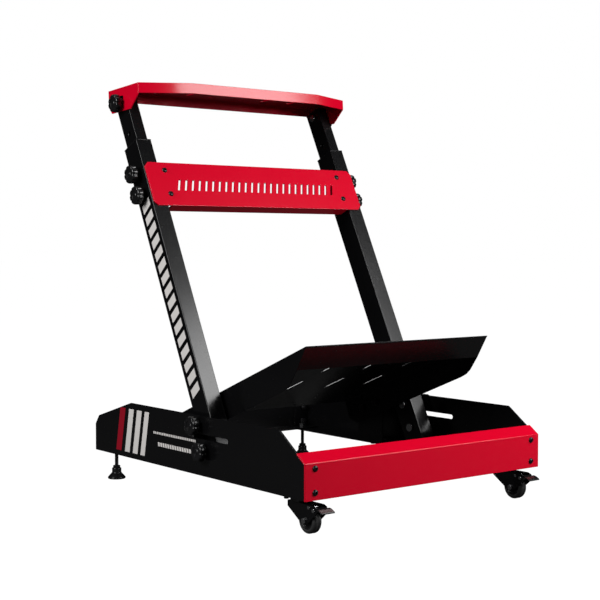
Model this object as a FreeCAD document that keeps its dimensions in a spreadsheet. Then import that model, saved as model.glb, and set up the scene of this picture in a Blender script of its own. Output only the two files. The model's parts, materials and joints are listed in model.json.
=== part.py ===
"""Free-standing stand for a racing wheel and its pedals.

A low base of folded sheet carries two leaning telescopic uprights. A tilting deck on top takes the
wheel and a tilting tray between the uprights takes the pedals. Two braked castors stand under the front
corners and two levelling feet under the rear corners.

Row frame: +Z up, the front beam faces -Y, the person sits on the +Y side, the origin is on the floor in
the middle of the stand. Lengths are millimetres and angles are degrees.
"""
import FreeCAD, Part
import math
import os
from types import SimpleNamespace

import Sketcher
from FreeCAD import Placement, Rotation, Vector

SIZES = [
    ("base_width", 560, "front beam, end to end"),
    ("base_length", 700, "front face of the beam to the rear ends of the side plates"),
    ("ride_height", 60, "floor to the underside of the side plates"),
    ("sheet", 3, "sheet of the base"),
    ("plate_inset", 3, "side plate behind the end of the beam"),
    ("plate_height", 109, "side plate at its highest"),
    ("plate_rear_height", 68, "side plate at its rear end"),
    ("plate_rear_slope", 141, "length of the falling rear part of the top edge"),
    ("plate_rear_corner", 14, "chamfer of the upper rear corner"),
    ("chamfer_angle", 35, "slope of the front chamfer of the side plates"),
    ("fold_height", 62, "front beam, height of its front face"),
    ("facet_length", 27, "front beam, sloping facet on the chamfers"),
    ("beam_return", 18, "front beam, return along the bottom between the side plates"),
    ("flange_width", 51, "bottom flange of a side plate, with the sheet"),
    ("end_flange", 40, "front and rear flanges of a side plate"),
    ("rear_flange_depth", 42, "bottom flange of the rear cross-member"),
    ("screw_inset", 21.5, "beam screws from the end of the beam"),
    ("screw_low", 13, "lower beam screws above the plate bottom"),
    ("screw_high", 53, "upper beam screws above the plate bottom"),
    ("screw_radius", 3, "M6 screws"),
    ("screw_head", 5.5, "head radius of the M6 screws"),
    ("screw_head_height", 3.3, "head height of the M6 screws"),
    ("bolt_radius", 4, "M8 bolts"),
    ("running_gap", 0.05, "radial clearance of a part that turns on a bolt"),
    ("loose_gap", 0.2, "clearance of a part that is clamped or stands beside another"),
    ("slot_front", 224, "accessory slot, its front end"),
    ("slot_length", 112, "accessory slot, end to end"),
    ("slot_height", 71.5, "accessory slot, height of its middle"),
    ("slot_radius", 4.5, "half width of every bolt slot in the base"),
    ("lean", 26.4, "uprights from the vertical, towards the person"),
    ("lean_range", 7, "upright tilt each way"),
    ("foot_y", 299, "upright pivot behind the front face"),
    ("foot_z", 46, "upright pivot above the plate bottom"),
    ("tilt_bolt", 50, "tilt bolt above the pivot, along the upright"),
    ("upright_x", 244.5, "middle of an upright from the middle of the stand"),
    ("outer_wide", 34, "outer tube across"),
    ("outer_deep", 50, "outer tube front to back"),
    ("outer_wall", 2.5, "outer tube wall"),
    ("outer_top", 634, "outer tube mouth above the pivot"),
    ("outer_end", 18, "middle of the round foot end below the pivot"),
    ("inner_wide", 24, "inner tube across"),
    ("inner_deep", 42, "inner tube front to back"),
    ("inner_wall", 2, "inner tube wall"),
    ("inner_foot", 330, "inner tube foot above the pivot"),
    ("deck_reach", 730, "deck bolt above the upright pivot"),
    ("inner_over", 14, "inner tube beyond the deck bolt"),
    ("hole_pitch", 23, "row of holes in the inner tube"),
    ("hole_radius", 4.3, "holes in the inner tube"),
    ("sleeve_height", 24, "guide sleeve inside the tube mouth"),
    ("sleeve_rim", 2.5, "guide sleeve rim on the tube mouth"),
    ("sleeve_gap", 0.15, "guide sleeve and slide block to the tube they slide on"),
    ("block_height", 20, "slide block on the foot of the inner tube"),
    ("nut_radius", 7.5, "round weld nuts"),
    ("nut_height", 4, "weld nuts on the outer tubes"),
    ("knob_radius", 18, "hand knobs"),
    ("knob_height", 13, "grip of a hand knob"),
    ("knob_hub", 9, "hub radius of a hand knob"),
    ("knob_hub_height", 4, "hub of a hand knob"),
    ("knob_groove", 4.6, "radius of the finger grooves"),
    ("panel_low", 488, "cross panel, lower edge above the upright pivot"),
    ("panel_high", 583, "cross panel, upper edge above the upright pivot"),
    ("panel_half", 260, "half width of the cross panel"),
    ("panel_corner", 9, "corner chamfers of the cross panel"),
    ("panel_flange", 22, "flanges of the cross panel"),
    ("panel_flange_half", 221, "half width of those flanges"),
    ("panel_screw_x", 217.5, "panel screws from the middle"),
    ("panel_screw_low", 513.5, "lower panel screws above the upright pivot"),
    ("panel_screw_high", 565.5, "upper panel screws above the upright pivot"),
    ("bar_low", 522, "row of cut-outs, lower edge above the upright pivot"),
    ("bar_high", 545, "row of cut-outs, upper edge above the upright pivot"),
    ("bar_pitch", 16, "spacing of the cut-outs"),
    ("bar_wide", 5, "width of a cut-out"),
    ("bar_slant", 8, "sideways lean of a cut-out"),
    ("deck_half", 259.5, "half width of the wheel deck"),
    ("deck_front", 109, "front edge of the deck ahead of its bolt"),
    ("deck_rear", 45, "rear edge of the deck behind its bolt"),
    ("deck_rise", 31.6, "deck top above its bolt"),
    ("deck_sheet", 2.5, "sheet of the deck"),
    ("deck_lip", 20.5, "front and rear flanges of the deck"),
    ("deck_corner_x", 101, "corner facet of the deck, across"),
    ("deck_corner_y", 37.5, "corner facet of the deck, front to back"),
    ("deck_ear", 15.4, "side flange of the deck below its bolt"),
    ("deck_tilt", 3.5, "fall of the deck towards the person"),
    ("deck_hole_circle", 110, "circle through the four wheel bolt holes"),
    ("deck_hole_radius", 3.3, "wheel bolt holes"),
    ("tray_half", 219, "half width of the pedal tray"),
    ("tray_sheet", 2, "sheet of the pedal tray"),
    ("tray_front_y", 75, "front edge of the tray behind the front face"),
    ("tray_front_z", 247, "front edge of the tray above the plate bottom"),
    ("tray_tilt", 21.3, "fall of the tray towards the person"),
    ("tray_length", 450, "tray along its slope"),
    ("tray_side", 54, "side flanges of the tray"),
    ("tray_lip_y", 40, "front flange of the tray, reach under the plate"),
    ("tray_lip_z", 30.6, "front flange of the tray, depth"),
    ("tray_pivot_y", 400, "tray pivot behind its front edge"),
    ("tray_pivot_z", 30, "tray pivot under its top"),
    ("tray_clamp", 45, "tray clamp bolt ahead of its pivot"),
    ("tray_slot_x", 51, "inner slots of the tray from the middle"),
    ("tray_slot_pitch", 102, "inner to outer slots"),
    ("tray_slot_radius", 3.5, "half width of the tray slots"),
    ("bracket_gap", 2, "tray side flange to its bracket"),
    ("castor_x", 247, "castor swivel from the middle"),
    ("castor_y", 54, "castor swivel behind the front face"),
    ("castor_trail", 26, "wheel axle ahead of the swivel"),
    ("castor_plate", 44, "square top plate"),
    ("castor_top", 2.5, "thickness of the top plate and the fork"),
    ("castor_race", 6.5, "height of the swivel race"),
    ("wheel_radius", 22.5, "castor wheel"),
    ("wheel_width", 18, "castor wheel"),
    ("wheel_core", 15, "core radius of the castor wheel"),
    ("axle_radius", 3, "castor axle"),
    ("brake_reach", 20, "tip of the brake pedal ahead of the front face"),
    ("brake_pin_y", 50, "pin of the brake pedal ahead of the swivel"),
    ("brake_pin_z", 17, "pin of the brake pedal under the top plate"),
    ("toe_width", 28, "toe plate of the brake pedal"),
    ("tray_slot_length", 62, "slots of the tray, between their end centres"),
    ("tray_slot_first", 114, "first row of slots behind the front edge of the tray"),
    ("tray_slot_row", 126, "first to second row of slots"),
    ("foot_x", 242, "levelling foot from the middle"),
    ("foot_behind", 676, "levelling foot behind the front face"),
    ("foot_stem", 3.95, "stem radius of a levelling foot"),
    ("foot_pad", 18, "pad radius of a levelling foot"),
]


class Size:
    """A number that also carries the spreadsheet expression it was worked out from."""

    def __init__(self, value, text):
        self.value = float(value)
        self.text = text

    def __add__(self, other):
        return combine(self, "+", other, value_of(self) + value_of(other))

    def __radd__(self, other):
        return combine(other, "+", self, value_of(other) + value_of(self))

    def __sub__(self, other):
        return combine(self, "-", other, value_of(self) - value_of(other))

    def __rsub__(self, other):
        return combine(other, "-", self, value_of(other) - value_of(self))

    def __mul__(self, other):
        return combine(self, "*", other, value_of(self) * value_of(other))

    def __rmul__(self, other):
        return combine(other, "*", self, value_of(other) * value_of(self))

    def __truediv__(self, other):
        return combine(self, "/", other, value_of(self) / value_of(other))

    def __neg__(self):
        return combine(-1, "*", self, -self.value)


def value_of(number):
    return number.value if isinstance(number, Size) else float(number)


def text_of(number):
    return number.text if isinstance(number, Size) else repr(number)


def combine(left, sign, right, value):
    return Size(value, f"({text_of(left)} {sign} {text_of(right)})")


def sine(angle):
    return Size(math.sin(math.radians(angle.value)), f"sin({angle.text})")


def cosine(angle):
    return Size(math.cos(math.radians(angle.value)), f"cos({angle.text})")


def tangent(angle):
    return Size(math.tan(math.radians(angle.value)), f"tan({angle.text})")


def long_side(across, along):
    return Size(math.hypot(across.value, along.value), f"hypot({across.text}; {along.text})")


doc = FreeCAD.newDocument("wheel_stand")
sheet = doc.addObject("Spreadsheet::Sheet", "Sizes")
for row, (alias, amount, meaning) in enumerate(SIZES, start=1):
    sheet.set(f"A{row}", alias)
    sheet.set(f"B{row}", str(amount))
    sheet.set(f"C{row}", meaning)
    sheet.setAlias(f"B{row}", alias)
doc.recompute()
S = SimpleNamespace(**{alias: Size(amount, f"Sizes.{alias}") for alias, amount, _ in SIZES})

SIDES = (("left", -1), ("right", 1))
subparts = []


# ---------------------------------------------------------------- helpers

def bind(obj, prop, number):
    """Bind one property to the sheet, or set it where it is a plain number."""
    if isinstance(number, Size):
        obj.setExpression(prop, number.text)
    else:
        obj.setExpression(prop, repr(float(number)))


def move_to(obj, x, y, z):
    for axis, number in zip("xyz", (x, y, z)):
        bind(obj, f"Placement.Base.{axis}", number)
    return obj


class Frame:
    """Where a sub-part's own axes stand in the row frame, turned about -X so that their top leans to +Y."""

    def __init__(self, y, z, angle=None, x=0.0):
        self.x, self.y, self.z, self.angle = x, y, z, angle


def piece(obj, node, frame):
    """Name a finished sub-part, place it in its frame and list it."""
    obj.Label = node
    turn = value_of(frame.angle) if frame.angle is not None else 0.0
    spot = Vector(value_of(frame.x), value_of(frame.y), value_of(frame.z))
    obj.Placement = Placement(spot, Rotation(Vector(-1, 0, 0), turn))
    move_to(obj, frame.x, frame.y, frame.z)
    if frame.angle is not None:
        bind(obj, "Placement.Rotation.Angle", frame.angle)
    subparts.append(obj)
    return obj


def box(x, y, z, wide, deep, high):
    """A block from its lowest corner."""
    block = doc.addObject("Part::Box", "block")
    bind(block, "Length", wide)
    bind(block, "Width", deep)
    bind(block, "Height", high)
    return move_to(block, x, y, z)


def rod(axis, x, y, z, radius, length):
    """A round bar from the middle of its end face, along +X, +Y or +Z."""
    bar = doc.addObject("Part::Cylinder", "bar")
    turns = {"X": Rotation(Vector(0, 1, 0), 90), "Y": Rotation(Vector(1, 0, 0), -90), "Z": Rotation()}
    bar.Placement = Placement(Vector(), turns[axis])
    bind(bar, "Radius", radius)
    bind(bar, "Height", length)
    return move_to(bar, x, y, z)


def cone(axis, x, y, z, radius, top_radius, length):
    """A round taper from the middle of its end face."""
    taper = doc.addObject("Part::Cone", "taper")
    turns = {"X": Rotation(Vector(0, 1, 0), 90), "Z": Rotation()}
    taper.Placement = Placement(Vector(), turns[axis])
    bind(taper, "Radius1", radius)
    bind(taper, "Radius2", top_radius)
    bind(taper, "Height", length)
    return move_to(taper, x, y, z)


def hexagon(axis, x, y, z, radius, length):
    """A hexagonal bar from the middle of its end face."""
    bar = doc.addObject("Part::Prism", "hexagon")
    turns = {"X": Rotation(Vector(0, 1, 0), 90), "Y": Rotation(Vector(1, 0, 0), -90), "Z": Rotation()}
    bar.Placement = Placement(Vector(), turns[axis])
    bar.Polygon = 6
    bind(bar, "Circumradius", radius)
    bind(bar, "Height", length)
    return move_to(bar, x, y, z)


def fuse(*shapes):
    joined = doc.addObject("Part::MultiFuse", "joined")
    joined.Shapes = list(shapes)
    return joined


def cut(base, *tools):
    remainder = doc.addObject("Part::Cut", "remainder")
    remainder.Base = base
    remainder.Tool = tools[0] if len(tools) == 1 else fuse(*tools)
    return remainder


def group(*shapes):
    """Separate solids in one node."""
    together = doc.addObject("Part::Compound", "together")
    together.Links = list(shapes)
    return together


def mirrored(side, low, wide):
    """The lower X of a block that reaches from `low` outwards by `wide` on one side of the stand."""
    return low if side > 0 else -low - wide


def sketch_on(body, plane, offset=0.0):
    """A sketch on one of the body's own planes: XY looks down, XZ looks along +Y, YZ looks along -X."""
    flat = next(f for f in body.Origin.OriginFeatures if f.Role == f"{plane}_Plane")
    sketch = body.newObject("Sketcher::SketchObject", "outline")
    sketch.AttachmentSupport = (flat, [""])
    sketch.MapMode = "FlatFace"
    bind(sketch, "AttachmentOffset.Base.z", offset)
    return sketch


def fix_point(sketch, geometry, end, x, y):
    for kind, number in (("DistanceX", x), ("DistanceY", y)):
        index = sketch.addConstraint(Sketcher.Constraint(kind, -1, 1, geometry, end, value_of(number)))
        if isinstance(number, Size):
            sketch.setExpression(f"Constraints[{index}]", number.text)


def draw_lines(sketch, corners):
    """A closed outline of straight edges, each corner bound to its two sizes."""
    spots = [Vector(value_of(x), value_of(y), 0) for x, y in corners]
    first = sketch.GeometryCount
    for start, end in zip(spots, spots[1:] + spots[:1]):
        sketch.addGeometry(Part.LineSegment(start, end), False)
    count = len(corners)
    for i, (x, y) in enumerate(corners):
        before = first + (i - 1) % count
        sketch.addConstraint(Sketcher.Constraint("Coincident", before, 2, first + i, 1))
        fix_point(sketch, first + i, 1, x, y)


def draw_circle(sketch, x, y, radius):
    middle = Vector(value_of(x), value_of(y), 0)
    index = sketch.addGeometry(Part.Circle(middle, Vector(0, 0, 1), value_of(radius)), False)
    fix_point(sketch, index, 3, x, y)
    size = sketch.addConstraint(Sketcher.Constraint("Radius", index, value_of(radius)))
    sketch.setExpression(f"Constraints[{size}]", text_of(radius))


def draw_slot(sketch, start, end, radius):
    """A slot with round ends about two points."""
    a, b = (Vector(value_of(x), value_of(y), 0) for x, y in (start, end))
    across = math.atan2(b.y - a.y, b.x - a.x) + math.pi / 2
    offset = Vector(math.cos(across), math.sin(across), 0) * value_of(radius)
    up = Vector(0, 0, 1)
    half = math.pi
    round_a = Part.ArcOfCircle(Part.Circle(a, up, value_of(radius)), across, across + half)
    round_b = Part.ArcOfCircle(Part.Circle(b, up, value_of(radius)), across - half, across)
    first = sketch.addGeometry(round_a, False)
    sketch.addGeometry(Part.LineSegment(a - offset, b - offset), False)
    sketch.addGeometry(round_b, False)
    sketch.addGeometry(Part.LineSegment(b + offset, a + offset), False)
    for i in range(4):
        following = first + (i + 1) % 4
        sketch.addConstraint(Sketcher.Constraint("Tangent", first + i, 2, following, 1))
    sketch.addConstraint(Sketcher.Constraint("Equal", first, first + 2))
    fix_point(sketch, first, 3, *start)
    fix_point(sketch, first + 2, 3, *end)
    size = sketch.addConstraint(Sketcher.Constraint("Radius", first, value_of(radius)))
    sketch.setExpression(f"Constraints[{size}]", text_of(radius))


def new_body():
    return doc.addObject("PartDesign::Body", "body")


def pad(body, sketch, length, both_ways=False):
    """Material along the sketch's normal: +Z on XY, -Y on XZ, +X on YZ."""
    feature = body.newObject("PartDesign::Pad", "pad")
    feature.Profile = sketch
    feature.Midplane = both_ways
    bind(feature, "Length", length)
    return feature


def pocket(body, sketch, depth):
    """A cut through the sheet on both sides of the sketch plane."""
    feature = body.newObject("PartDesign::Pocket", "pocket")
    feature.Profile = sketch
    feature.Midplane = True
    bind(feature, "Length", depth)
    return feature


def pad_lines(body, plane, offset, corners, length, both_ways=False):
    sketch = sketch_on(body, plane, offset)
    draw_lines(sketch, corners)
    return pad(body, sketch, length, both_ways)


def rectangle(low_x, low_y, high_x, high_y):
    return [(low_x, low_y), (high_x, low_y), (high_x, high_y), (low_x, high_y)]


# ---------------------------------------------------------------- frames

front_y = -(S.base_length + S.screw_head_height - S.brake_reach) / 2
base = Frame(front_y, S.ride_height)
upright = Frame(front_y + S.foot_y, S.ride_height + S.foot_z, S.lean)
deck = Frame(front_y + S.foot_y + S.deck_reach * sine(S.lean),
             S.ride_height + S.foot_z + S.deck_reach * cosine(S.lean), S.deck_tilt)
tray_pivot_y = (S.tray_front_y + S.tray_pivot_y * cosine(S.tray_tilt)
                - S.tray_pivot_z * sine(S.tray_tilt))
tray_pivot_z = (S.tray_front_z - S.tray_pivot_y * sine(S.tray_tilt)
                - S.tray_pivot_z * cosine(S.tray_tilt))
tray = Frame(front_y + tray_pivot_y, S.ride_height + tray_pivot_z, S.tray_tilt)


def castor_frame(side):
    return Frame(front_y + S.castor_y, S.ride_height, x=side * S.castor_x)


def foot_frame(side):
    return Frame(front_y + S.foot_behind, 0.0, x=side * S.foot_x)


# ---------------------------------------------------------------- base

plate_out = S.base_width / 2 - S.plate_inset
plate_in = plate_out - S.sheet
bolt_turns = S.bolt_radius + S.running_gap
bolt_loose = S.bolt_radius + S.loose_gap
chamfer_foot = S.fold_height + S.sheet * tangent(S.chamfer_angle) - S.sheet / cosine(S.chamfer_angle)
chamfer_top = S.sheet + (S.plate_height - chamfer_foot) / tangent(S.chamfer_angle)
flange_in = plate_out - S.flange_width
upright_out = S.upright_x + S.outer_wide / 2
upright_in = S.upright_x - S.outer_wide / 2
tilt_swing = S.tilt_bolt * sine(S.lean_range)
bracket_out = S.tray_half + S.bracket_gap + S.sheet
tray_swing = 6.0
tray_throw = S.tray_clamp * math.sin(math.radians(tray_swing))


def leaning(along, across):
    """A point of the upright's own axes in the base's Y and Z; `across` runs to the rear."""
    y = S.foot_y + along * sine(S.lean) + across * cosine(S.lean)
    z = S.foot_z + along * cosine(S.lean) - across * sine(S.lean)
    return y, z


def on_tray(along, up):
    """A point of the tray's own axes in the base's Y and Z; `along` runs to the rear."""
    y = tray_pivot_y + along * cosine(S.tray_tilt) + up * sine(S.tray_tilt)
    z = tray_pivot_z - along * sine(S.tray_tilt) + up * cosine(S.tray_tilt)
    return y, z


def side_plate(name, side):
    """Web, bottom flange and two end flanges, with the slots and holes of one side."""
    body = new_body()
    web_start = plate_in if side > 0 else -plate_out
    top_rear = S.base_length - S.plate_rear_slope
    corner = S.plate_rear_corner
    fall = (S.plate_height - S.plate_rear_height) / S.plate_rear_slope
    web = [(S.sheet, 0.0), (S.base_length, 0.0), (S.base_length, S.plate_rear_height - corner),
           (S.base_length - corner, S.plate_rear_height + corner * fall),
           (top_rear, S.plate_height), (chamfer_top, S.plate_height), (S.sheet, chamfer_foot)]
    pad_lines(body, "YZ", web_start, web, S.sheet)
    inner, outer = sorted((side * flange_in, side * plate_in), key=value_of)
    pad_lines(body, "XY", 0.0, rectangle(inner, S.sheet, outer, S.base_length), S.sheet)
    tab_in, tab_out = sorted((side * (plate_in - S.end_flange), side * plate_in), key=value_of)
    front_tab = rectangle(tab_in, S.sheet, tab_out, chamfer_foot - S.sheet)
    pad_lines(body, "XZ", -2 * S.sheet, front_tab, S.sheet)
    rear_tab = rectangle(tab_in, 2 * S.sheet, tab_out, S.plate_rear_height - corner)
    pad_lines(body, "XZ", -(S.base_length - S.sheet), rear_tab, S.sheet)

    web_holes = sketch_on(body, "YZ", side * (plate_in + S.sheet / 2))
    slot_start = S.slot_front + S.slot_radius
    slot_end = S.slot_front + S.slot_length - S.slot_radius
    draw_slot(web_holes, (slot_start, S.slot_height), (slot_end, S.slot_height), S.slot_radius)
    draw_slot(web_holes, leaning(S.tilt_bolt, -tilt_swing), leaning(S.tilt_bolt, tilt_swing), S.slot_radius)
    draw_circle(web_holes, S.foot_y, S.foot_z, bolt_turns)
    pocket(body, web_holes, 2 * S.sheet)

    floor_holes = sketch_on(body, "XY", S.sheet / 2)
    screw = S.castor_plate / 2 - 5
    for x in (-screw, screw):
        for y in (-screw, screw):
            draw_circle(floor_holes, side * S.castor_x + x, S.castor_y + y, S.screw_radius - 0.3)
    draw_circle(floor_holes, side * S.foot_x, S.foot_behind, bolt_loose)
    for along in (0.25, 0.75):
        draw_circle(floor_holes, side * (bracket_out + 22), bracket_y(along), S.screw_radius + S.loose_gap)
    pocket(body, floor_holes, 2 * S.sheet)

    screw_x = side * (S.base_width / 2 - S.screw_inset)
    tab_holes = sketch_on(body, "XZ", -1.5 * S.sheet)
    for z in (S.screw_low, S.screw_high):
        draw_circle(tab_holes, screw_x, z, S.screw_radius + S.loose_gap)
    pocket(body, tab_holes, S.sheet)
    rear_holes = sketch_on(body, "XZ", -(S.base_length - 1.5 * S.sheet))
    for z in (S.screw_low + 3, S.screw_high - 6):
        draw_circle(rear_holes, screw_x, z, S.screw_radius + S.loose_gap)
    body.Tip = pocket(body, rear_holes, S.sheet)
    return piece(body, f"side_plate_{name}", base)


def bracket_y(share):
    """A place along the tray bracket, from its front end to its rear end."""
    start = tray_pivot_y - S.tray_clamp - 14
    return start + share * (S.tray_clamp + 32)


def front_beam():
    """Front face, sloping facet over the side plate chamfers and a return along the bottom."""
    body = new_body()
    cos_a, sin_a = cosine(S.chamfer_angle), sine(S.chamfer_angle)
    facet_y = S.facet_length * cos_a
    facet_z = S.fold_height + S.facet_length * sin_a
    profile = [(0.0, 0.0), (S.sheet, 0.0), (S.sheet, chamfer_foot),
               (facet_y + S.sheet * sin_a, facet_z - S.sheet * cos_a), (facet_y, facet_z),
               (0.0, S.fold_height)]
    pad_lines(body, "YZ", 0.0, profile, S.base_width, both_ways=True)
    lip = rectangle(S.sheet, 0.0, S.sheet + S.beam_return, S.sheet)
    pad_lines(body, "YZ", 0.0, lip, 2 * (flange_in - S.loose_gap), both_ways=True)
    holes = sketch_on(body, "XZ", -S.sheet / 2)
    for _, side in SIDES:
        for z in (S.screw_low, S.screw_high):
            draw_circle(holes, side * (S.base_width / 2 - S.screw_inset), z, S.screw_radius + S.loose_gap)
    body.Tip = pocket(body, holes, 2 * S.sheet)
    return piece(body, "front_beam", base)


def rear_crossmember():
    """Angle between the side plates, standing on their bottom flanges."""
    body = new_body()
    half = plate_in - S.loose_gap
    depth = S.base_length - S.rear_flange_depth
    profile = [(depth, S.sheet), (S.base_length, S.sheet), (S.base_length, S.plate_rear_height - 8),
               (S.base_length - S.sheet, S.plate_rear_height - 8), (S.base_length - S.sheet, 2 * S.sheet),
               (depth, 2 * S.sheet)]
    pad_lines(body, "YZ", 0.0, profile, 2 * half, both_ways=True)
    holes = sketch_on(body, "XZ", -(S.base_length - S.sheet / 2))
    floor = sketch_on(body, "XY", 1.5 * S.sheet)
    for _, side in SIDES:
        for z in (S.screw_low + 3, S.screw_high - 6):
            draw_circle(holes, side * (S.base_width / 2 - S.screw_inset), z, S.screw_radius + S.loose_gap)
        draw_circle(floor, side * S.foot_x, S.foot_behind, bolt_loose)
    pocket(body, holes, 2 * S.sheet)
    body.Tip = pocket(body, floor, 2 * S.sheet)
    return piece(body, "rear_crossmember", base)


def button_screw(x, y, z, direction, reach):
    """M6 button screw along Y: its head lies on the plane y, on the side that `direction` points to."""
    head = rod("Y", x, y if direction > 0 else y - S.screw_head_height, z, S.screw_head, S.screw_head_height)
    shank = rod("Y", x, y - reach if direction > 0 else y, z, S.screw_radius, reach)
    socket_y = y + S.screw_head_height - 1.8 if direction > 0 else y - S.screw_head_height
    socket = hexagon("Y", x, socket_y, z, 2.3, 1.8)
    return cut(fuse(head, shank), socket)


def base_screws():
    """Beam screws with their nuts at the front, and the rear screws with theirs."""
    front, rear = [], []
    nut_round = 1.9 * S.screw_radius
    for _, side in SIDES:
        x = side * (S.base_width / 2 - S.screw_inset)
        for z in (S.screw_low, S.screw_high):
            front.append(button_screw(x, 0.0, z, -1, 2 * S.sheet + 7))
            nut = hexagon("Y", x, 2 * S.sheet + 0.05, z, nut_round, 5)
            front.append(cut(nut, rod("Y", x, 2 * S.sheet, z, S.screw_radius + 0.02, 6)))
        for z in (S.screw_low + 3, S.screw_high - 6):
            rear.append(button_screw(x, S.base_length, z, 1, 2 * S.sheet + 7))
            nut = hexagon("Y", x, S.base_length - 2 * S.sheet - 5.05, z, nut_round, 5)
            rear.append(cut(nut, rod("Y", x, S.base_length - 2 * S.sheet - 6, z, S.screw_radius + 0.02, 6)))
    piece(group(*front), "beam_screws", base)
    piece(group(*rear), "rear_screws", base)


def tray_bracket(name, side):
    """Angle bracket: a foot on the side plate's flange and a web beside the tray."""
    body = new_body()
    web_start = bracket_out - S.sheet if side > 0 else -bracket_out
    start, end = bracket_y(0.0), bracket_y(1.0)
    web = [(start, S.sheet), (end, S.sheet), (end, tray_pivot_z + 12), (start + 22, tray_pivot_z + 28),
           (start, tray_pivot_z + 20)]
    pad_lines(body, "YZ", web_start, web, S.sheet)
    low, high = sorted((side * bracket_out, side * (bracket_out + 36)), key=value_of)
    pad_lines(body, "XY", S.sheet, rectangle(low, start, high, end), S.sheet)
    holes = sketch_on(body, "YZ", side * (bracket_out - S.sheet / 2))
    draw_circle(holes, tray_pivot_y, tray_pivot_z, bolt_loose)
    draw_slot(holes, on_tray(-S.tray_clamp, -tray_throw), on_tray(-S.tray_clamp, tray_throw), S.slot_radius)
    pocket(body, holes, 2 * S.sheet)
    floor = sketch_on(body, "XY", 1.5 * S.sheet)
    for along in (0.25, 0.75):
        draw_circle(floor, side * (bracket_out + 22), bracket_y(along), S.screw_radius + S.loose_gap)
    body.Tip = pocket(body, floor, 2 * S.sheet)
    return piece(body, f"tray_bracket_{name}", base)


def bracket_screws():
    """Hexagon screws that hold the tray brackets on the bottom flanges."""
    solids = []
    for _, side in SIDES:
        for along in (0.25, 0.75):
            x, y = side * (bracket_out + 22), bracket_y(along)
            head = hexagon("Z", x, y, 2 * S.sheet, S.screw_head, S.screw_head_height)
            shank = rod("Z", x, y, -5.0, S.screw_radius, 2 * S.sheet + 5)
            nut = hexagon("Z", x, y, -5.0, S.screw_head, 5.0)
            solids.append(fuse(head, shank, nut))
    return piece(group(*solids), "bracket_screws", base)


def bolt_along_x(side, inner, outer, y, z, head_radius, head_height):
    """M8 bolt across the stand with a round head on its inner end."""
    start = inner if side > 0 else -outer
    head = mirrored(side, inner - head_height, head_height)
    return fuse(rod("X", start, y, z, S.bolt_radius, outer - inner),
                rod("X", head, y, z, head_radius, head_height))


def nut_along_x(side, inner, y, z, height, gap=0.03):
    low = mirrored(side, inner, height)
    return cut(hexagon("X", low, y, z, S.nut_radius, height), rod("X", low, y, z, S.bolt_radius + gap, height))


def tray_bolts():
    """Pivot bolts, which stay with the brackets, and clamp bolts, which tilt with the tray."""
    pivots, clamps = [], []
    tray_in = S.tray_half - S.tray_sheet
    head_at = tray_in - S.loose_gap
    for _, side in SIDES:
        y, z = tray_pivot_y, tray_pivot_z
        pivots.append(bolt_along_x(side, head_at, bracket_out + 9, y, z, S.nut_radius, 4.5))
        pivots.append(nut_along_x(side, bracket_out + 0.05, y, z, 6.5))
        clamps.append(bolt_along_x(side, tray_in, bracket_out + 9, -S.tray_clamp, 0.0, S.nut_radius, 4.5))
        clamps.append(nut_along_x(side, bracket_out + S.loose_gap, -S.tray_clamp, 0.0, 6.5))
    piece(group(*pivots), "tray_pivot_bolts", base)
    piece(group(*clamps), "tray_clamp_bolts", tray)


# ---------------------------------------------------------------- uprights

def upright_tube(name, side):
    """Rectangular tube with a round foot; its mouth and its foot are open."""
    x = side * S.upright_x - S.outer_wide / 2
    wall = S.outer_wall
    high = S.outer_top + S.outer_end
    bar = box(x, -S.outer_deep / 2, -S.outer_end, S.outer_wide, S.outer_deep, high)
    foot = rod("X", x, 0.0, -S.outer_end, S.outer_deep / 2, S.outer_wide)
    bore = box(x + wall, wall - S.outer_deep / 2, -S.outer_end - S.outer_deep, S.outer_wide - 2 * wall,
               S.outer_deep - 2 * wall, high + 2 * S.outer_deep)
    bolt_holes = [rod("X", x - 1, 0.0, z, bolt_loose, S.outer_wide + 2) for z in (0.0, S.tilt_bolt)]
    outer_wall = mirrored(side, upright_out - wall - 1, wall + 2)
    stud_holes = [rod("X", outer_wall, 0.0, z, bolt_loose, wall + 2) for z in stud_heights]
    tube = cut(fuse(bar, foot), bore, *bolt_holes, *stud_holes)
    return piece(tube, f"upright_tube_{name}", upright)


stud_heights = [S.deck_reach - count * S.hole_pitch for count in (7, 9)]


def cross_panel():
    """Panel on the front of the uprights, flanged between them, with a row of slanted cut-outs."""
    body = new_body()
    half, low, high, corner = S.panel_half, S.panel_low, S.panel_high, S.panel_corner
    face = S.outer_deep / 2
    outline = [(-half, low + corner), (-half + corner, low), (half - corner, low), (half, low + corner),
               (half, high - corner), (half - corner, high), (-half + corner, high), (-half, high - corner)]
    pad_lines(body, "XZ", face, outline, S.sheet)
    flange = S.panel_flange_half
    for z in (low, high - S.sheet):
        shelf = rectangle(-face, z, S.panel_flange - face, z + S.sheet)
        pad_lines(body, "YZ", 0.0, shelf, 2 * flange, both_ways=True)
    openings = sketch_on(body, "XZ", face + S.sheet / 2)
    for _, side in SIDES:
        for z in (S.panel_screw_low, S.panel_screw_high):
            draw_circle(openings, side * S.panel_screw_x, z, S.screw_radius + S.loose_gap)
    reach = range(-12, 13)
    for count in reach:
        x = count * S.bar_pitch - S.bar_slant / 2
        draw_lines(openings, [(x - S.bar_wide / 2, S.bar_low), (x + S.bar_wide / 2, S.bar_low),
                              (x + S.bar_wide / 2 + S.bar_slant, S.bar_high),
                              (x - S.bar_wide / 2 + S.bar_slant, S.bar_high)])
    body.Tip = pocket(body, openings, 2 * S.sheet)
    return piece(body, "cross_panel", upright)


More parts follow.
